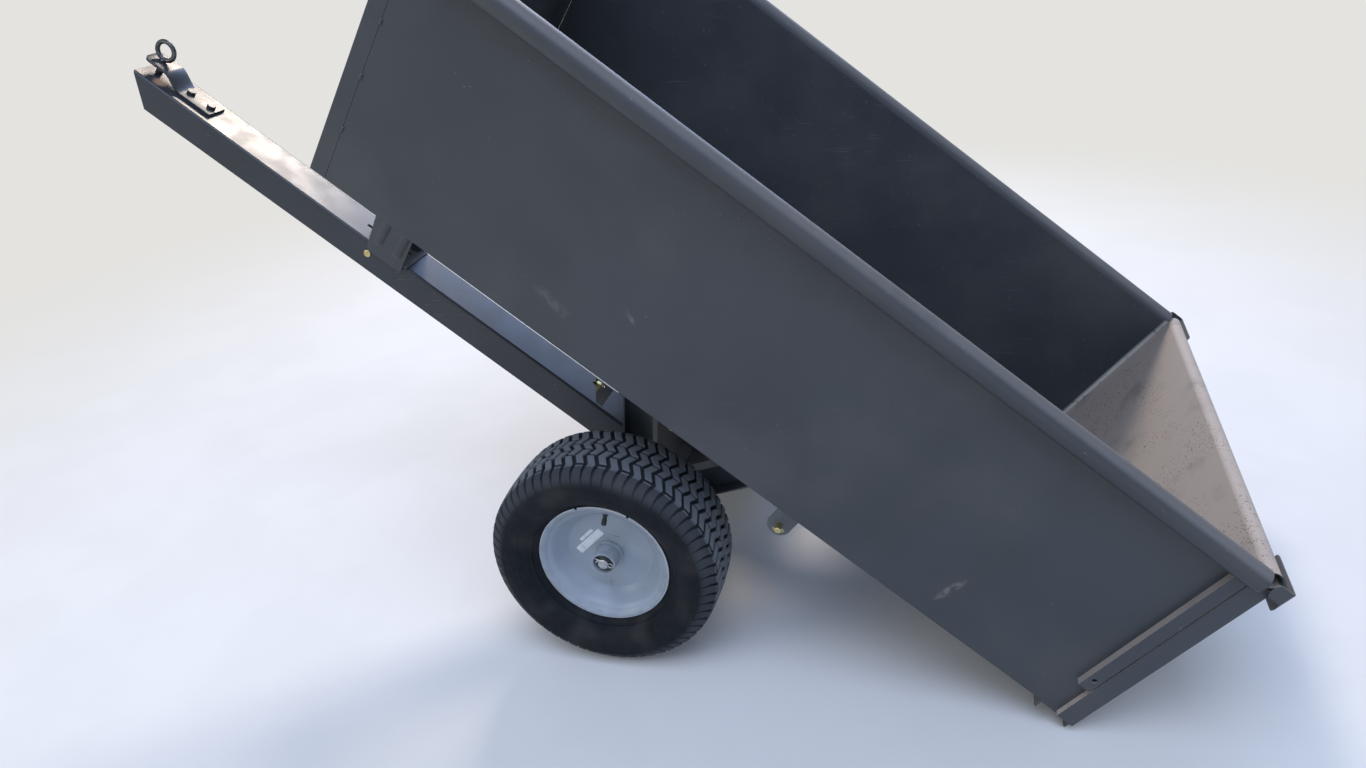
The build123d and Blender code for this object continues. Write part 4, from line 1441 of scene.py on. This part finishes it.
@dataclass
class Hitch:
    """Strap stepped up off the tongue, its two painted bolts, and the drawbar pin with a round handle."""

    deck: float = -312.0
    width: float = 48.0
    sheet: float = 6.0
    rear: float = 1795.0
    bend: Pair = (1862.0, 1904.0)
    rise: float = 22.0
    nose: float = 1951.0
    nose_round: float = 12.0
    bolt_u: Pair = (1809.0, 1855.0)
    bolt_radius: float = 9.0
    head: float = 6.0
    shank: float = 5.0
    channel_sheet: float = 3.5
    channel_height: float = 60.0
    pin_u: float = 1928.0
    pin_radius: float = 6.35
    pin_tail: float = 30.0
    pin_taper: float = 7.0
    pin_groove: Pair = (13.0, 17.0)
    pin_groove_depth: float = 1.4
    pin_groove_slope: float = 0.6
    pin_shoulder: float = 1.5
    ring: float = 18.0
    ring_wire: float = 4.5

    def strap(self) -> Shell:
        """Flat bar along u: its middle rises by 3 t^2 - 2 t^3 over the bend, and its sides draw in round the nose.

        Returns:
            The closed shell.
        """
        square = self.nose - self.nose_round
        turn = np.linspace(0, np.pi / 2, 10)
        runs = [np.linspace(self.rear, self.bend[0], 9), np.linspace(*self.bend, 30)]
        u = np.unique(np.concatenate(runs + [square + self.nose_round * np.sin(turn)]))
        t = np.clip((u - self.bend[0]) / (self.bend[1] - self.bend[0]), 0, 1)
        middle = self.deck + self.sheet / 2 + self.rise * (3 * t**2 - 2 * t**3)
        slope = np.gradient(middle, u)
        normal = np.stack([-slope, 0 * u, 1 + 0 * u], axis=1) / np.sqrt(1 + slope**2)[:, None]
        past = np.clip(u - square, 0, self.nose_round)
        drawn = self.nose_round - np.sqrt(self.nose_round**2 - past**2)
        h, k = self.width / 2, self.sheet / 2
        v, n = rounded([(h, k), (-h, k), (-h, -k), (h, -k)], 1.0, 4, True).T
        line = np.stack([u, 0 * u, middle], axis=1)
        across = (v - np.sign(v) * drawn[:, None])[..., None] * Y_AXIS
        return skin(line[:, None] + across + n[None, :, None] * normal[:, None])

    def bolt(self, u: float) -> list[Shell]:
        """Hexagon head above the strap, nut below the channel's top, and the thread's end with its chamfer.

        Args:
            u: where it stands along the tongue.

        Returns:
            Head, shank and nut.
        """
        top, under = self.deck + self.sheet, self.deck - self.channel_sheet
        low = under - 2 * self.head
        tail = [(low, 0.5), (low, self.shank - 1), (low + 1, self.shank), (top, self.shank), (top, 0.5)]
        parts = [hexagon(self.bolt_radius, top, top + self.head), lathe(np.array(tail), 24).turned(UPRIGHT)]
        parts.append(hexagon(self.bolt_radius, 0, self.head).moved((0, 0, under), (1, 1, -1)))
        return [part.moved((u, 0, 0)) for part in parts]

    def pin(self) -> list[Shell]:
        """Turned pin with a tapered nose and a groove, welded to a ring of round bar that stands on the strap.

        Returns:
            The pin and its ring.
        """
        r, top = self.pin_radius, self.deck + self.rise + self.sheet
        low = self.deck - self.channel_height - self.pin_tail
        eye = top + self.ring_wire
        start, end = (low + w for w in self.pin_groove)
        root, slope, shoulder = r - self.pin_groove_depth, self.pin_groove_slope, self.pin_shoulder
        line = [(low, 0.5), (low, r * 0.5), (low + self.pin_taper, r), (start, r), (start + slope, root)]
        line += [(end - slope, root), (end, r), (eye - shoulder, r), (eye, r - shoulder), (eye, 0.5)]
        a = np.arange(64) * 2 * np.pi / 64
        circle = np.stack([self.ring * np.cos(a), 0 * a, eye + self.ring + self.ring * np.sin(a)], axis=1)
        ring = wire(circle, self.ring_wire, Y_AXIS, 16, True)
        parts = [lathe(rounded(line, 0.4), 40).turned(UPRIGHT), ring]
        return [part.moved((self.pin_u, 0, 0)) for part in parts]

    def build(self) -> None:
        """Makes the strap, its bolts and the pin, which ride on the tongue."""
        tongue = Body.TONGUE
        make_piece("stepped_strap", [self.strap()], LEVEL, TONGUE_COAT, tongue, "tongue_paint", ("hitch_strap",))
        bolts = [part for u in self.bolt_u for part in self.bolt(u)]
        make_piece("painted_bolts", bolts, LEVEL, TONGUE_COAT, tongue, "tongue_paint", ("strap_bolts",), 20.0)
        make_piece("ring_pin", self.pin(), LEVEL, STEEL, tongue, "axle_steel", ("hitch_pin",))


@dataclass
class LatchStand:
    """Pressed stand under the floor: two cheeks with round embossed ribs, a head, and a saddle over the tongue."""

    front: float = 1414.0
    rear: float = 1330.0
    foot_front: float = 1402.0
    foot_rear: float = 1322.0
    foot: float = -325.0
    toe: float = 8.0
    waist: float = -245.0
    inside: float = 48.5
    sheet: float = 3.0
    ribs: tuple[float, ...] = (1388.0, 1345.0)
    rib_radius: float = 14.0
    rib_depth: float = 6.0
    rib_ends: Pair = (-292.0, -72.0)
    saddle_rear: float = 1316.0
    saddle_under: float = -311.7
    slot_rear: float = 1333.0
    slot_half: float = 4.0
    hole: Pair = (1342.0, -27.0)
    hole_radius: float = 15.0

    def cheek(self) -> Shell:
        """Sheet of level rings: outside at y = inside + sheet + bumps, back on the inside at y = inside + bumps.

        A bump is sqrt(R^2 - d^2) - (R - depth) where that is more than 0, at the distance d from its rib's line.

        Returns:
            The closed left cheek.
        """
        turn = np.linspace(0, np.pi / 2, 8)
        low = self.foot + self.toe * (1 - np.cos(turn))
        w = np.unique(np.concatenate([low, np.linspace(low[-1], self.waist, 50), np.linspace(self.waist, 0, 80)]))
        round_in = self.toe - np.sqrt(self.toe**2 - np.clip(self.foot + self.toe - w, 0, self.toe) ** 2)
        ahead = np.interp(w, (self.foot, self.waist, 0), (self.foot_front, self.front, self.front)) - round_in
        back = np.interp(w, (self.foot, self.waist, 0), (self.foot_rear, self.rear, self.rear)) + 0.5 * round_in
        u = back[:, None] + (ahead - back)[:, None] * np.linspace(0, 1, 85)
        past = np.clip(self.rib_ends[0] - w, 0, None) + np.clip(w - self.rib_ends[1], 0, None)
        square = (u[..., None] - np.array(self.ribs)) ** 2 + (past**2)[:, None, None]
        segment = np.sqrt(np.clip(self.rib_radius**2 - square, 0, None)) - (self.rib_radius - self.rib_depth)
        bump = np.clip(segment, 0, None).sum(axis=2)
        level = w[:, None] + 0 * u
        outer = np.stack([u, self.inside + self.sheet + bump, level], axis=-1)
        inner = np.stack([u, self.inside + bump, level], axis=-1)
        return skin(np.concatenate([outer, inner[:, ::-1]], axis=1))

    def holed(self) -> Shell:
        """Right half of the saddle: four rings, round its edge and round its hole, above and below.

        Returns:
            The closed shell.
        """
        u, y = self.hole
        u0, u1, y0, y1 = self.saddle_rear, self.foot_front, -self.inside, -self.slot_half
        corners = [np.arctan2(end - y, side - u) for end in (y0, y1) for side in (u0, u1)]
        a = np.sort(np.concatenate([np.radians(np.arange(0.5, 360, 7.5)) - np.pi, corners]))
        c, s = np.cos(a), np.sin(a)
        reach = np.minimum(np.where(c > 0, u1 - u, u0 - u) / c, np.where(s > 0, y1 - y, y0 - y) / s)
        radii = np.stack([reach, 0 * a + self.hole_radius, 0 * a + self.hole_radius, reach])
        lift = self.saddle_under + self.sheet * np.array([1, 1, 0, 0])[:, None]
        return skin(np.stack([u + radii * c, y + radii * s, lift + 0 * radii], axis=-1), True)

    def flat(self, u0: float, u1: float, y0: float, y1: float, low: float) -> Shell:
        """A square-edged piece of the pressing's sheet that lies level."""
        line = np.array([(u0, y0), (u1, y0), (u1, y1), (u0, y1)])
        return plate(line, low, low + self.sheet, 0.05).turned(UPRIGHT)

    def build(self) -> None:
        """Makes the stand as one piece that stays with the cart."""
        left, low, inside = self.cheek(), self.saddle_under, self.inside
        shells = [left, left.mirrored(), self.holed()]
        shells.append(self.flat(self.saddle_rear, self.foot_front, self.slot_half, inside, low))
        shells.append(self.flat(self.saddle_rear, self.slot_rear, -self.slot_half, self.slot_half, low))
        shells.append(self.flat(self.rear, self.front, -inside, inside, -self.sheet))
        make_piece("pressed_stand", shells, LEVEL, BED_COAT, Body.CART, "bed_paint", ("latch_stand",), 40.0)


@dataclass
class FootLatch:
    """Flat latch plate that hangs on its pivot with its nose in the tongue's slot, and a ribbed foot pedal."""

    half: float = 2.0
    line: tuple[Pair, ...] = (
        (1360.0, -138.0),
        (1454.0, -124.5),
        (1454.0, -131.5),
        (1414.0, -138.0),
        (1423.0, -162.0),
        (1423.0, -344.0),
        (1409.0, -344.0),
        (1409.0, -298.0),
        (1360.0, -162.0),
    )
    pedal: Triple = (1419.0, 1454.0, 30.0)
    pedal_levels: Pair = (-132.0, -125.0)
    grips: tuple[float, ...] = (1426.0, 1433.0, 1440.0, 1447.0)
    grip_radius: float = 1.6
    grip_sunk: float = 0.7
    grip_short: float = 4.0
    corner: float = 5.0
    pedal_corner: float = 6.0
    pedal_ease: float = 1.2

    def build(self) -> None:
        """Makes plate and pedal as one piece that stays with the cart."""
        shells = [plate(rounded(list(self.line), self.corner, 5, True), -self.half, self.half)]
        u0, u1, half = self.pedal
        pad = rounded([(u0, -half), (u1, -half), (u1, half), (u0, half)], self.pedal_corner, 6, True)
        shells.append(plate(pad, *self.pedal_levels, self.pedal_ease).turned(UPRIGHT))
        across = np.linspace(self.grip_short - half, half - self.grip_short, 24)
        level = self.pedal_levels[1] - self.grip_sunk
        for u in self.grips:
            line = np.stack([u + 0 * across, across, level + 0 * across], axis=1)
            shells.append(wire(line, self.grip_radius, np.array([1.0, 0.0, 0.0]), 10))
        make_piece("foot_latch", shells, LEVEL, BED_COAT, Body.CART, "bed_paint", ("latch_lever",))


@dataclass
class TurnedPins:
    """Pins with domed heads through stand, tongue and lugs, and the small cottered pin in the tongue's slot."""

    radius: float = 5.0
    head: float = 7.5
    head_height: float = 3.0
    latch: Triple = (1398.0, -338.0, 43.8)
    pivot: Triple = (1372.0, -150.0, 57.8)
    lug: Triple = (517.0, -56.0, 362.0)
    lug_radius: float = 5.5
    lug_length: float = 28.0
    slot: Pair = (880.0, -22.0)
    slot_radius: float = 6.0
    slot_levels: Pair = (-332.0, -308.0)
    slot_cotter: float = -310.3

    def across(self, place: Triple) -> Shell:
        """Pin across the cart with a dome at each end.

        Args:
            place: u and w of its axis, and how far from the middle its heads begin.

        Returns:
            The closed shell.
        """
        u, w, end = place
        h = self.head_height
        half = [(end, self.radius), (end, self.head), (end + 0.5 * h, self.head), (end + 0.86 * h, 0.72 * self.head)]
        half += [(end + h, 0.35 * self.head), (end + h, 0.3)]
        line = [(-y, r) for y, r in half[::-1]] + half
        return lathe(rounded(line, 1.2, 4), 40).moved((u, 0, w))

    def through_lug(self) -> list[Shell]:
        """Left lug pin: wide head inside, chamfered end outside, and a small split pin across that end.

        Returns:
            The pin and its split pin.
        """
        u, w, start = self.lug
        r, end = self.lug_radius, start + self.lug_length
        line = [(start, 0.3), (start, self.head - 1), (start + 0.8, self.head), (start + 3, self.head), (start + 3, r)]
        pin = lathe(rounded(line + [(end - 1, r), (end, r - 1), (end, 0.3)], 0.4), 32)
        cotter = SplitPin(wire_radius=0.9, eye=2.9, reach=9.0, turn_deg=-25.0).shell().moved((0, end - 4, 0))
        return [part.moved((u, 0, w)) for part in (pin, cotter)]

    def in_slot(self) -> list[Shell]:
        """Upright pin with an eased top and a split pin that lies across it, its eye to the rear.

        Returns:
            The pin and its split pin.
        """
        low, high = self.slot_levels
        r = self.slot_radius
        line = [(low, 0.3), (low, r - 1), (low + 1, r), (high - 0.8, r), (high, r - 0.8), (high, 0.3)]
        cotter = SplitPin(wire_radius=1.0, eye=3.4, reach=13.0, turn_deg=12.0).shell()
        parts = [lathe(rounded(line, 0.3), 40), cotter.moved((0, self.slot_cotter, 0))]
        return [part.turned(UPRIGHT).moved((*self.slot, 0)) for part in parts]

    def build(self) -> None:
        """Makes the pins, each on the body that carries it."""
        cart, tongue, slot = Body.CART, Body.TONGUE, "yellow_zinc"
        make_piece("domed_pivot", [self.across(self.pivot)], LEVEL, GOLD, cart, slot, ("latch_pivot",))
        lug = self.through_lug()
        lugs = lug + [part.mirrored() for part in lug]
        make_piece("cottered_lug_pins", lugs, LEVEL, GOLD, cart, slot, ("lug_pins",))
        make_piece("domed_latch_pin", [self.across(self.latch)], LEVEL, GOLD, tongue, slot, ("latch_pin",))
        make_piece("cottered_slot_pin", self.in_slot(), LEVEL, GOLD, tongue, slot, ("slot_pin",))


# ---------------------------------------------------------------- bed


@dataclass
class GateCaps:
    """Plates bent round the gate's top corners, with rounded free corners."""

    start: float = 365.0
    back: float = -32.0
    side: float = 459.0
    wing_end: float = -5.0
    thick: float = 2.0
    bend: float = 5.0
    top: float = 403.0
    lows: Pair = (363.0, 379.0)
    corner: float = 6.0

    def build(self) -> None:
        """Carries an upright strip along its bent plan line; its lower edge climbs from the back to the wing."""
        line = rounded([(self.start, self.back), (self.side, self.back), (self.side, self.wing_end)], self.bend, 8)
        steps = np.concatenate([[0], np.cumsum(np.linalg.norm(np.diff(line, axis=0), axis=1))])
        fine = np.concatenate([np.linspace(0, self.corner, 7), steps[1:-1], steps[-1] - np.linspace(self.corner, 0, 7)])
        s = np.unique(fine)
        y, u = (np.interp(s, steps, line[:, i]) for i in (0, 1))
        heading = np.stack([np.gradient(u, s), np.gradient(y, s)], axis=1)
        heading /= np.linalg.norm(heading, axis=1, keepdims=True)
        side = np.stack([heading[:, 1], -heading[:, 0]], axis=1) * self.thick / 2
        past = np.clip(self.corner - np.minimum(s, s[-1] - s), 0, self.corner)
        eased = self.corner - np.sqrt(self.corner**2 - past**2)
        low = np.interp(s, (steps[1], steps[-2]), self.lows) + eased
        high = self.top - 0.5 * eased
        t = np.linspace(0, 1, 7)
        w = low[:, None] * (1 - t) + high[:, None] * t
        faces = []
        for sign in (1, -1):
            plan = np.stack([u + sign * side[:, 0], y + sign * side[:, 1]], axis=1)
            faces.append(np.stack([plan[:, 0, None] + 0 * w, plan[:, 1, None] + 0 * w, w], axis=-1))
        left = skin(np.concatenate([faces[0], faces[1][:, ::-1]], axis=1))
        make_piece("bent_gate_caps", [left, left.mirrored()], LEVEL, BED_COAT, Body.GATE, "bed_paint", ("gate_caps",))


@dataclass
class BedWelds:
    """Weld metal under the bed's paint: tacks across the front seams, and beads at struts, ribs, lugs and stand."""

    half: float = 420.0
    seam_u: float = 1388.0
    lean: float = 0.0699268
    tacks: tuple[float, ...] = (86.0, 173.0, 258.0)
    strut_y: Pair = (159.0, 189.0)
    strut_heads: Pair = (499.3, 888.7)
    strut_half: float = 32.0
    rib_under: float = -18.0
    rib_half: float = 42.0
    stitch_y: tuple[float, ...] = (-330.0, -110.0, 110.0, 330.0)
    stand: Triple = (1334.0, 1410.0, 51.5)
    boss: float = 24.0
    boss_out: float = 3.5
    boss_ripples: int = 40
    tack_half: float = 5.0
    tack_size: float = 2.3
    tack_ripple: float = 3.0
    head_size: float = 2.2
    stand_size: float = 2.0
    stand_under: float = -0.8
    boss_size: float = 2.0
    flange: float = 14.0
    flange_under: float = -1.0
    stitch_half: float = 16.0
    stitch_size: float = 1.6

    def seams(self) -> list[Shell]:
        """Short tacks along the seam between side and front on the left.

        Returns:
            The tacks.
        """
        made = []
        for w in self.tacks:
            middle = np.array([self.seam_u + w * self.lean, self.half + 0.1, w])
            along = np.array([self.lean, 0.0, 1.0]) * self.tack_half
            made.append(weld_run(middle - along, middle + along, self.tack_size, self.tack_ripple))
        return made

    def strut(self) -> list[Shell]:
        """Beads where the left strut's heads meet the ribs, and down the inner side of the stand's cheek.

        Returns:
            The beads.
        """
        made = []
        for u in self.strut_heads:
            for y in self.strut_y:
                ends = np.array([[u - self.strut_half, y, self.rib_under], [u + self.strut_half, y, self.rib_under]])
                made.append(weld_run(*ends, self.head_size))
        u0, u1, y = self.stand
        ends = np.array([[u0, y, self.stand_under], [u1, y, self.stand_under]])
        made.append(weld_run(*ends, self.stand_size))
        return made

    def ribs(self) -> list[Shell]:
        """Stitches along both flanges of each floor rib.

        Returns:
            The stitches.
        """
        made, along = [], self.stitch_half * Y_AXIS
        for u in self.strut_heads:
            for edge in (-1, 1):
                for y in self.stitch_y:
                    place = np.array([u + edge * (self.rib_half + self.flange), y, self.flange_under])
                    made.append(weld_run(place - along, place + along, self.stitch_size))
        return made

    def build(self) -> None:
        """Makes the weld metal, which stays with the cart."""
        left = self.seams() + self.strut()
        runs = left + [run.mirrored() for run in left] + self.ribs()
        make_piece("bed_weld_beads", runs, LEVEL, BED_COAT, Body.CART, "bed_paint")
        ring = weld_ring(self.boss, self.strut_y[0] + self.boss_out, self.boss_size, self.boss_ripples)
        make_piece("boss_weld_rings", [ring, ring.mirrored()], AXLE, TONGUE_COAT, Body.CART, "tongue_paint")


# ---------------------------------------------------------------- studio


@dataclass(frozen=True)
class Lamp:
    """A square soft lamp: its name, its place and side in metres, its power in watts, its colour as sRGB hex."""

    name: str
    place: Triple
    size: float
    power: float
    colour: str


@dataclass
class Studio:
    """Pale floor, soft lamps and the camera where the photographer stood: metres, its lens and sensor mm."""

    camera_place: Triple = (-0.5700, 1.6800, 1.2566)
    camera_turn: Triple = (1.09598, 0.07834, -2.8811)
    lens: float = 26.448
    sensor: float = 36.0
    floor_colour: str = "#E4E3E0"
    floor_shade: str = "#E1E0DD"
    floor_clouds: Cloud = Cloud(300, 3, 0.4, 0.6)
    floor_roughness: float = 0.9
    floor_half: float = 30.0
    even_from: Pair = (1.1, 3.4)
    surround: str = "#E0E9F8"
    surround_strength: float = 0.44
    aim: Triple = (0.0, 0.0, 0.5)
    lamps: tuple[Lamp, ...] = (
        Lamp("high_key", (0.78, -3.8, 4.0), 1.0, 168.0, "#FFEFDD"),
        Lamp("far_fill", (-0.48, -5.28, 3.38), 3.2, 160.0, "#A9C6FA"),
        Lamp("sky_panel", (-0.48, 2.72, 5.62), 3.84, 192.0, "#CADBFF"),
        Lamp("near_fill", (4.16, 3.68, 2.74), 2.4, 64.0, "#F4F1EA"),
        Lamp("low_fill", (-1.44, 5.76, 1.46), 2.4, 26.0, "#C9DAFC"),
        Lamp("rear_fill", (-5.12, 2.08, 2.26), 3.52, 67.0, "#C9DAFF"),
    )

    def floor(self) -> None:
        """A wide floor; far off, camera rays see it evenly pale, and near the cart it keeps the shadow."""
        mesh = bpy.data.meshes.new("studio_floor")
        reach = np.linspace(-self.floor_half, self.floor_half, 5)
        x, y = np.meshgrid(reach, reach, indexing="ij")
        points = np.stack([x, y, 0 * x], axis=-1).reshape(-1, 3)
        mesh.from_pydata(points.tolist(), [], grid_quads(5, 5, False, False)[:, ::-1].tolist())
        floor = bpy.data.objects.new("studio_floor", mesh)
        bpy.context.scene.collection.objects.link(floor)
        sheet = Sheet("matt_painted_studio_floor")
        add = sheet.add
        colour = add(Node.BLEND, sheet.patches(self.floor_clouds), self.floor_colour, self.floor_shade)
        seen = add(Node.GREATER, add(Node.CAMERA_RAY), add(Node.GLOSSY_RAY))
        seen = add(Node.GREATER, seen, add(Node.TRANSMISSION_RAY))
        factor = add(Node.TIMES, seen, add(Node.RAMP, add(Node.LENGTH, sheet.place), *self.even_from))
        paint, glow = add(Node.SKIN, colour, self.floor_roughness), add(Node.GLOW, self.floor_colour, 1.0)
        add(Node.OUTPUT, add(Node.EITHER, factor, paint, glow))
        mesh.materials.append(sheet.material)
        floor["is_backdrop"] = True

    def hang(self, lamp: Lamp) -> None:
        """Hangs a lamp so that it faces the middle of the cart.

        Args:
            lamp: the lamp.
        """
        data = bpy.data.lights.new(lamp.name, "AREA")
        data.shape, data.size, data.energy = "SQUARE", lamp.size, lamp.power
        data.color = linear(lamp.colour)[:3]
        made = bpy.data.objects.new(lamp.name, data)
        bpy.context.scene.collection.objects.link(made)
        made.location = lamp.place
        away = np.array(lamp.place) - np.array(self.aim)
        tilt = float(np.arctan2(np.hypot(away[0], away[1]), away[2]))
        made.rotation_euler = (tilt, 0.0, float(np.arctan2(away[1], away[0]) + np.pi / 2))

    def sky(self) -> None:
        """An even surround of a pale sky blue."""
        world = bpy.data.worlds.new("even_studio_surround")
        bpy.context.scene.world = world
        world.use_nodes = True
        background = world.node_tree.nodes["Background"].inputs
        background["Color"].default_value = linear(self.surround)
        background["Strength"].default_value = self.surround_strength

    def camera(self) -> None:
        """The camera, fitted to the photograph's corners of bed, tongue and wheel."""
        data = bpy.data.cameras.new("camera")
        data.lens, data.sensor_width = self.lens, self.sensor
        camera = bpy.data.objects.new("camera", data)
        bpy.context.scene.collection.objects.link(camera)
        camera.location, camera.rotation_euler = self.camera_place, self.camera_turn
        bpy.context.scene.camera = camera

    def build(self) -> None:
        """Sets up floor, surround, lamps, camera and the plain view transform."""
        self.floor()
        self.sky()
        for lamp in self.lamps:
            self.hang(lamp)
        self.camera()
        bpy.context.scene.view_settings.view_transform = "Standard"


# ---------------------------------------------------------------- assembly


def dress_frame() -> None:
    """Gives each CAD node that stays in view the finish of its slot in the record."""
    for name, node in frame["nodes"].items():
        part = next(entry for entry in frame["record"]["subparts"] if entry.get("node") == name)
        finish = NODE_FINISH.get(name) or SLOT_FINISH.get(part["material_slot"], BED_COAT)
        node.data.materials.clear()
        node.data.materials.append(finish.material())
        LOG.info("%s: CAD node finished with %s", name, finish.name)


def write_sizes() -> None:
    """Joins the boxes of the CAD model and of the dressed model into lines of JSON, which are then dropped."""
    boxes = [[list(map(float, corner)) for corner in box] for box in (CAD_BOX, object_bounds())]
    "\n".join(json.dumps(box) for box in boxes) + "\n"


def main() -> None:
    """Builds the classes in order and reports each piece."""
    logging.basicConfig(level=logging.INFO, format="%(message)s")
    dress_frame()
    for side in Side:
        Tyre().build(side)
        Wheel().build(side)
    AxleBar().build()
    Hitch().build()
    LatchStand().build()
    FootLatch().build()
    TurnedPins().build()
    GateCaps().build()
    BedWelds().build()
    Studio().build()
    write_sizes()


if __name__ == "__main__":
    main()
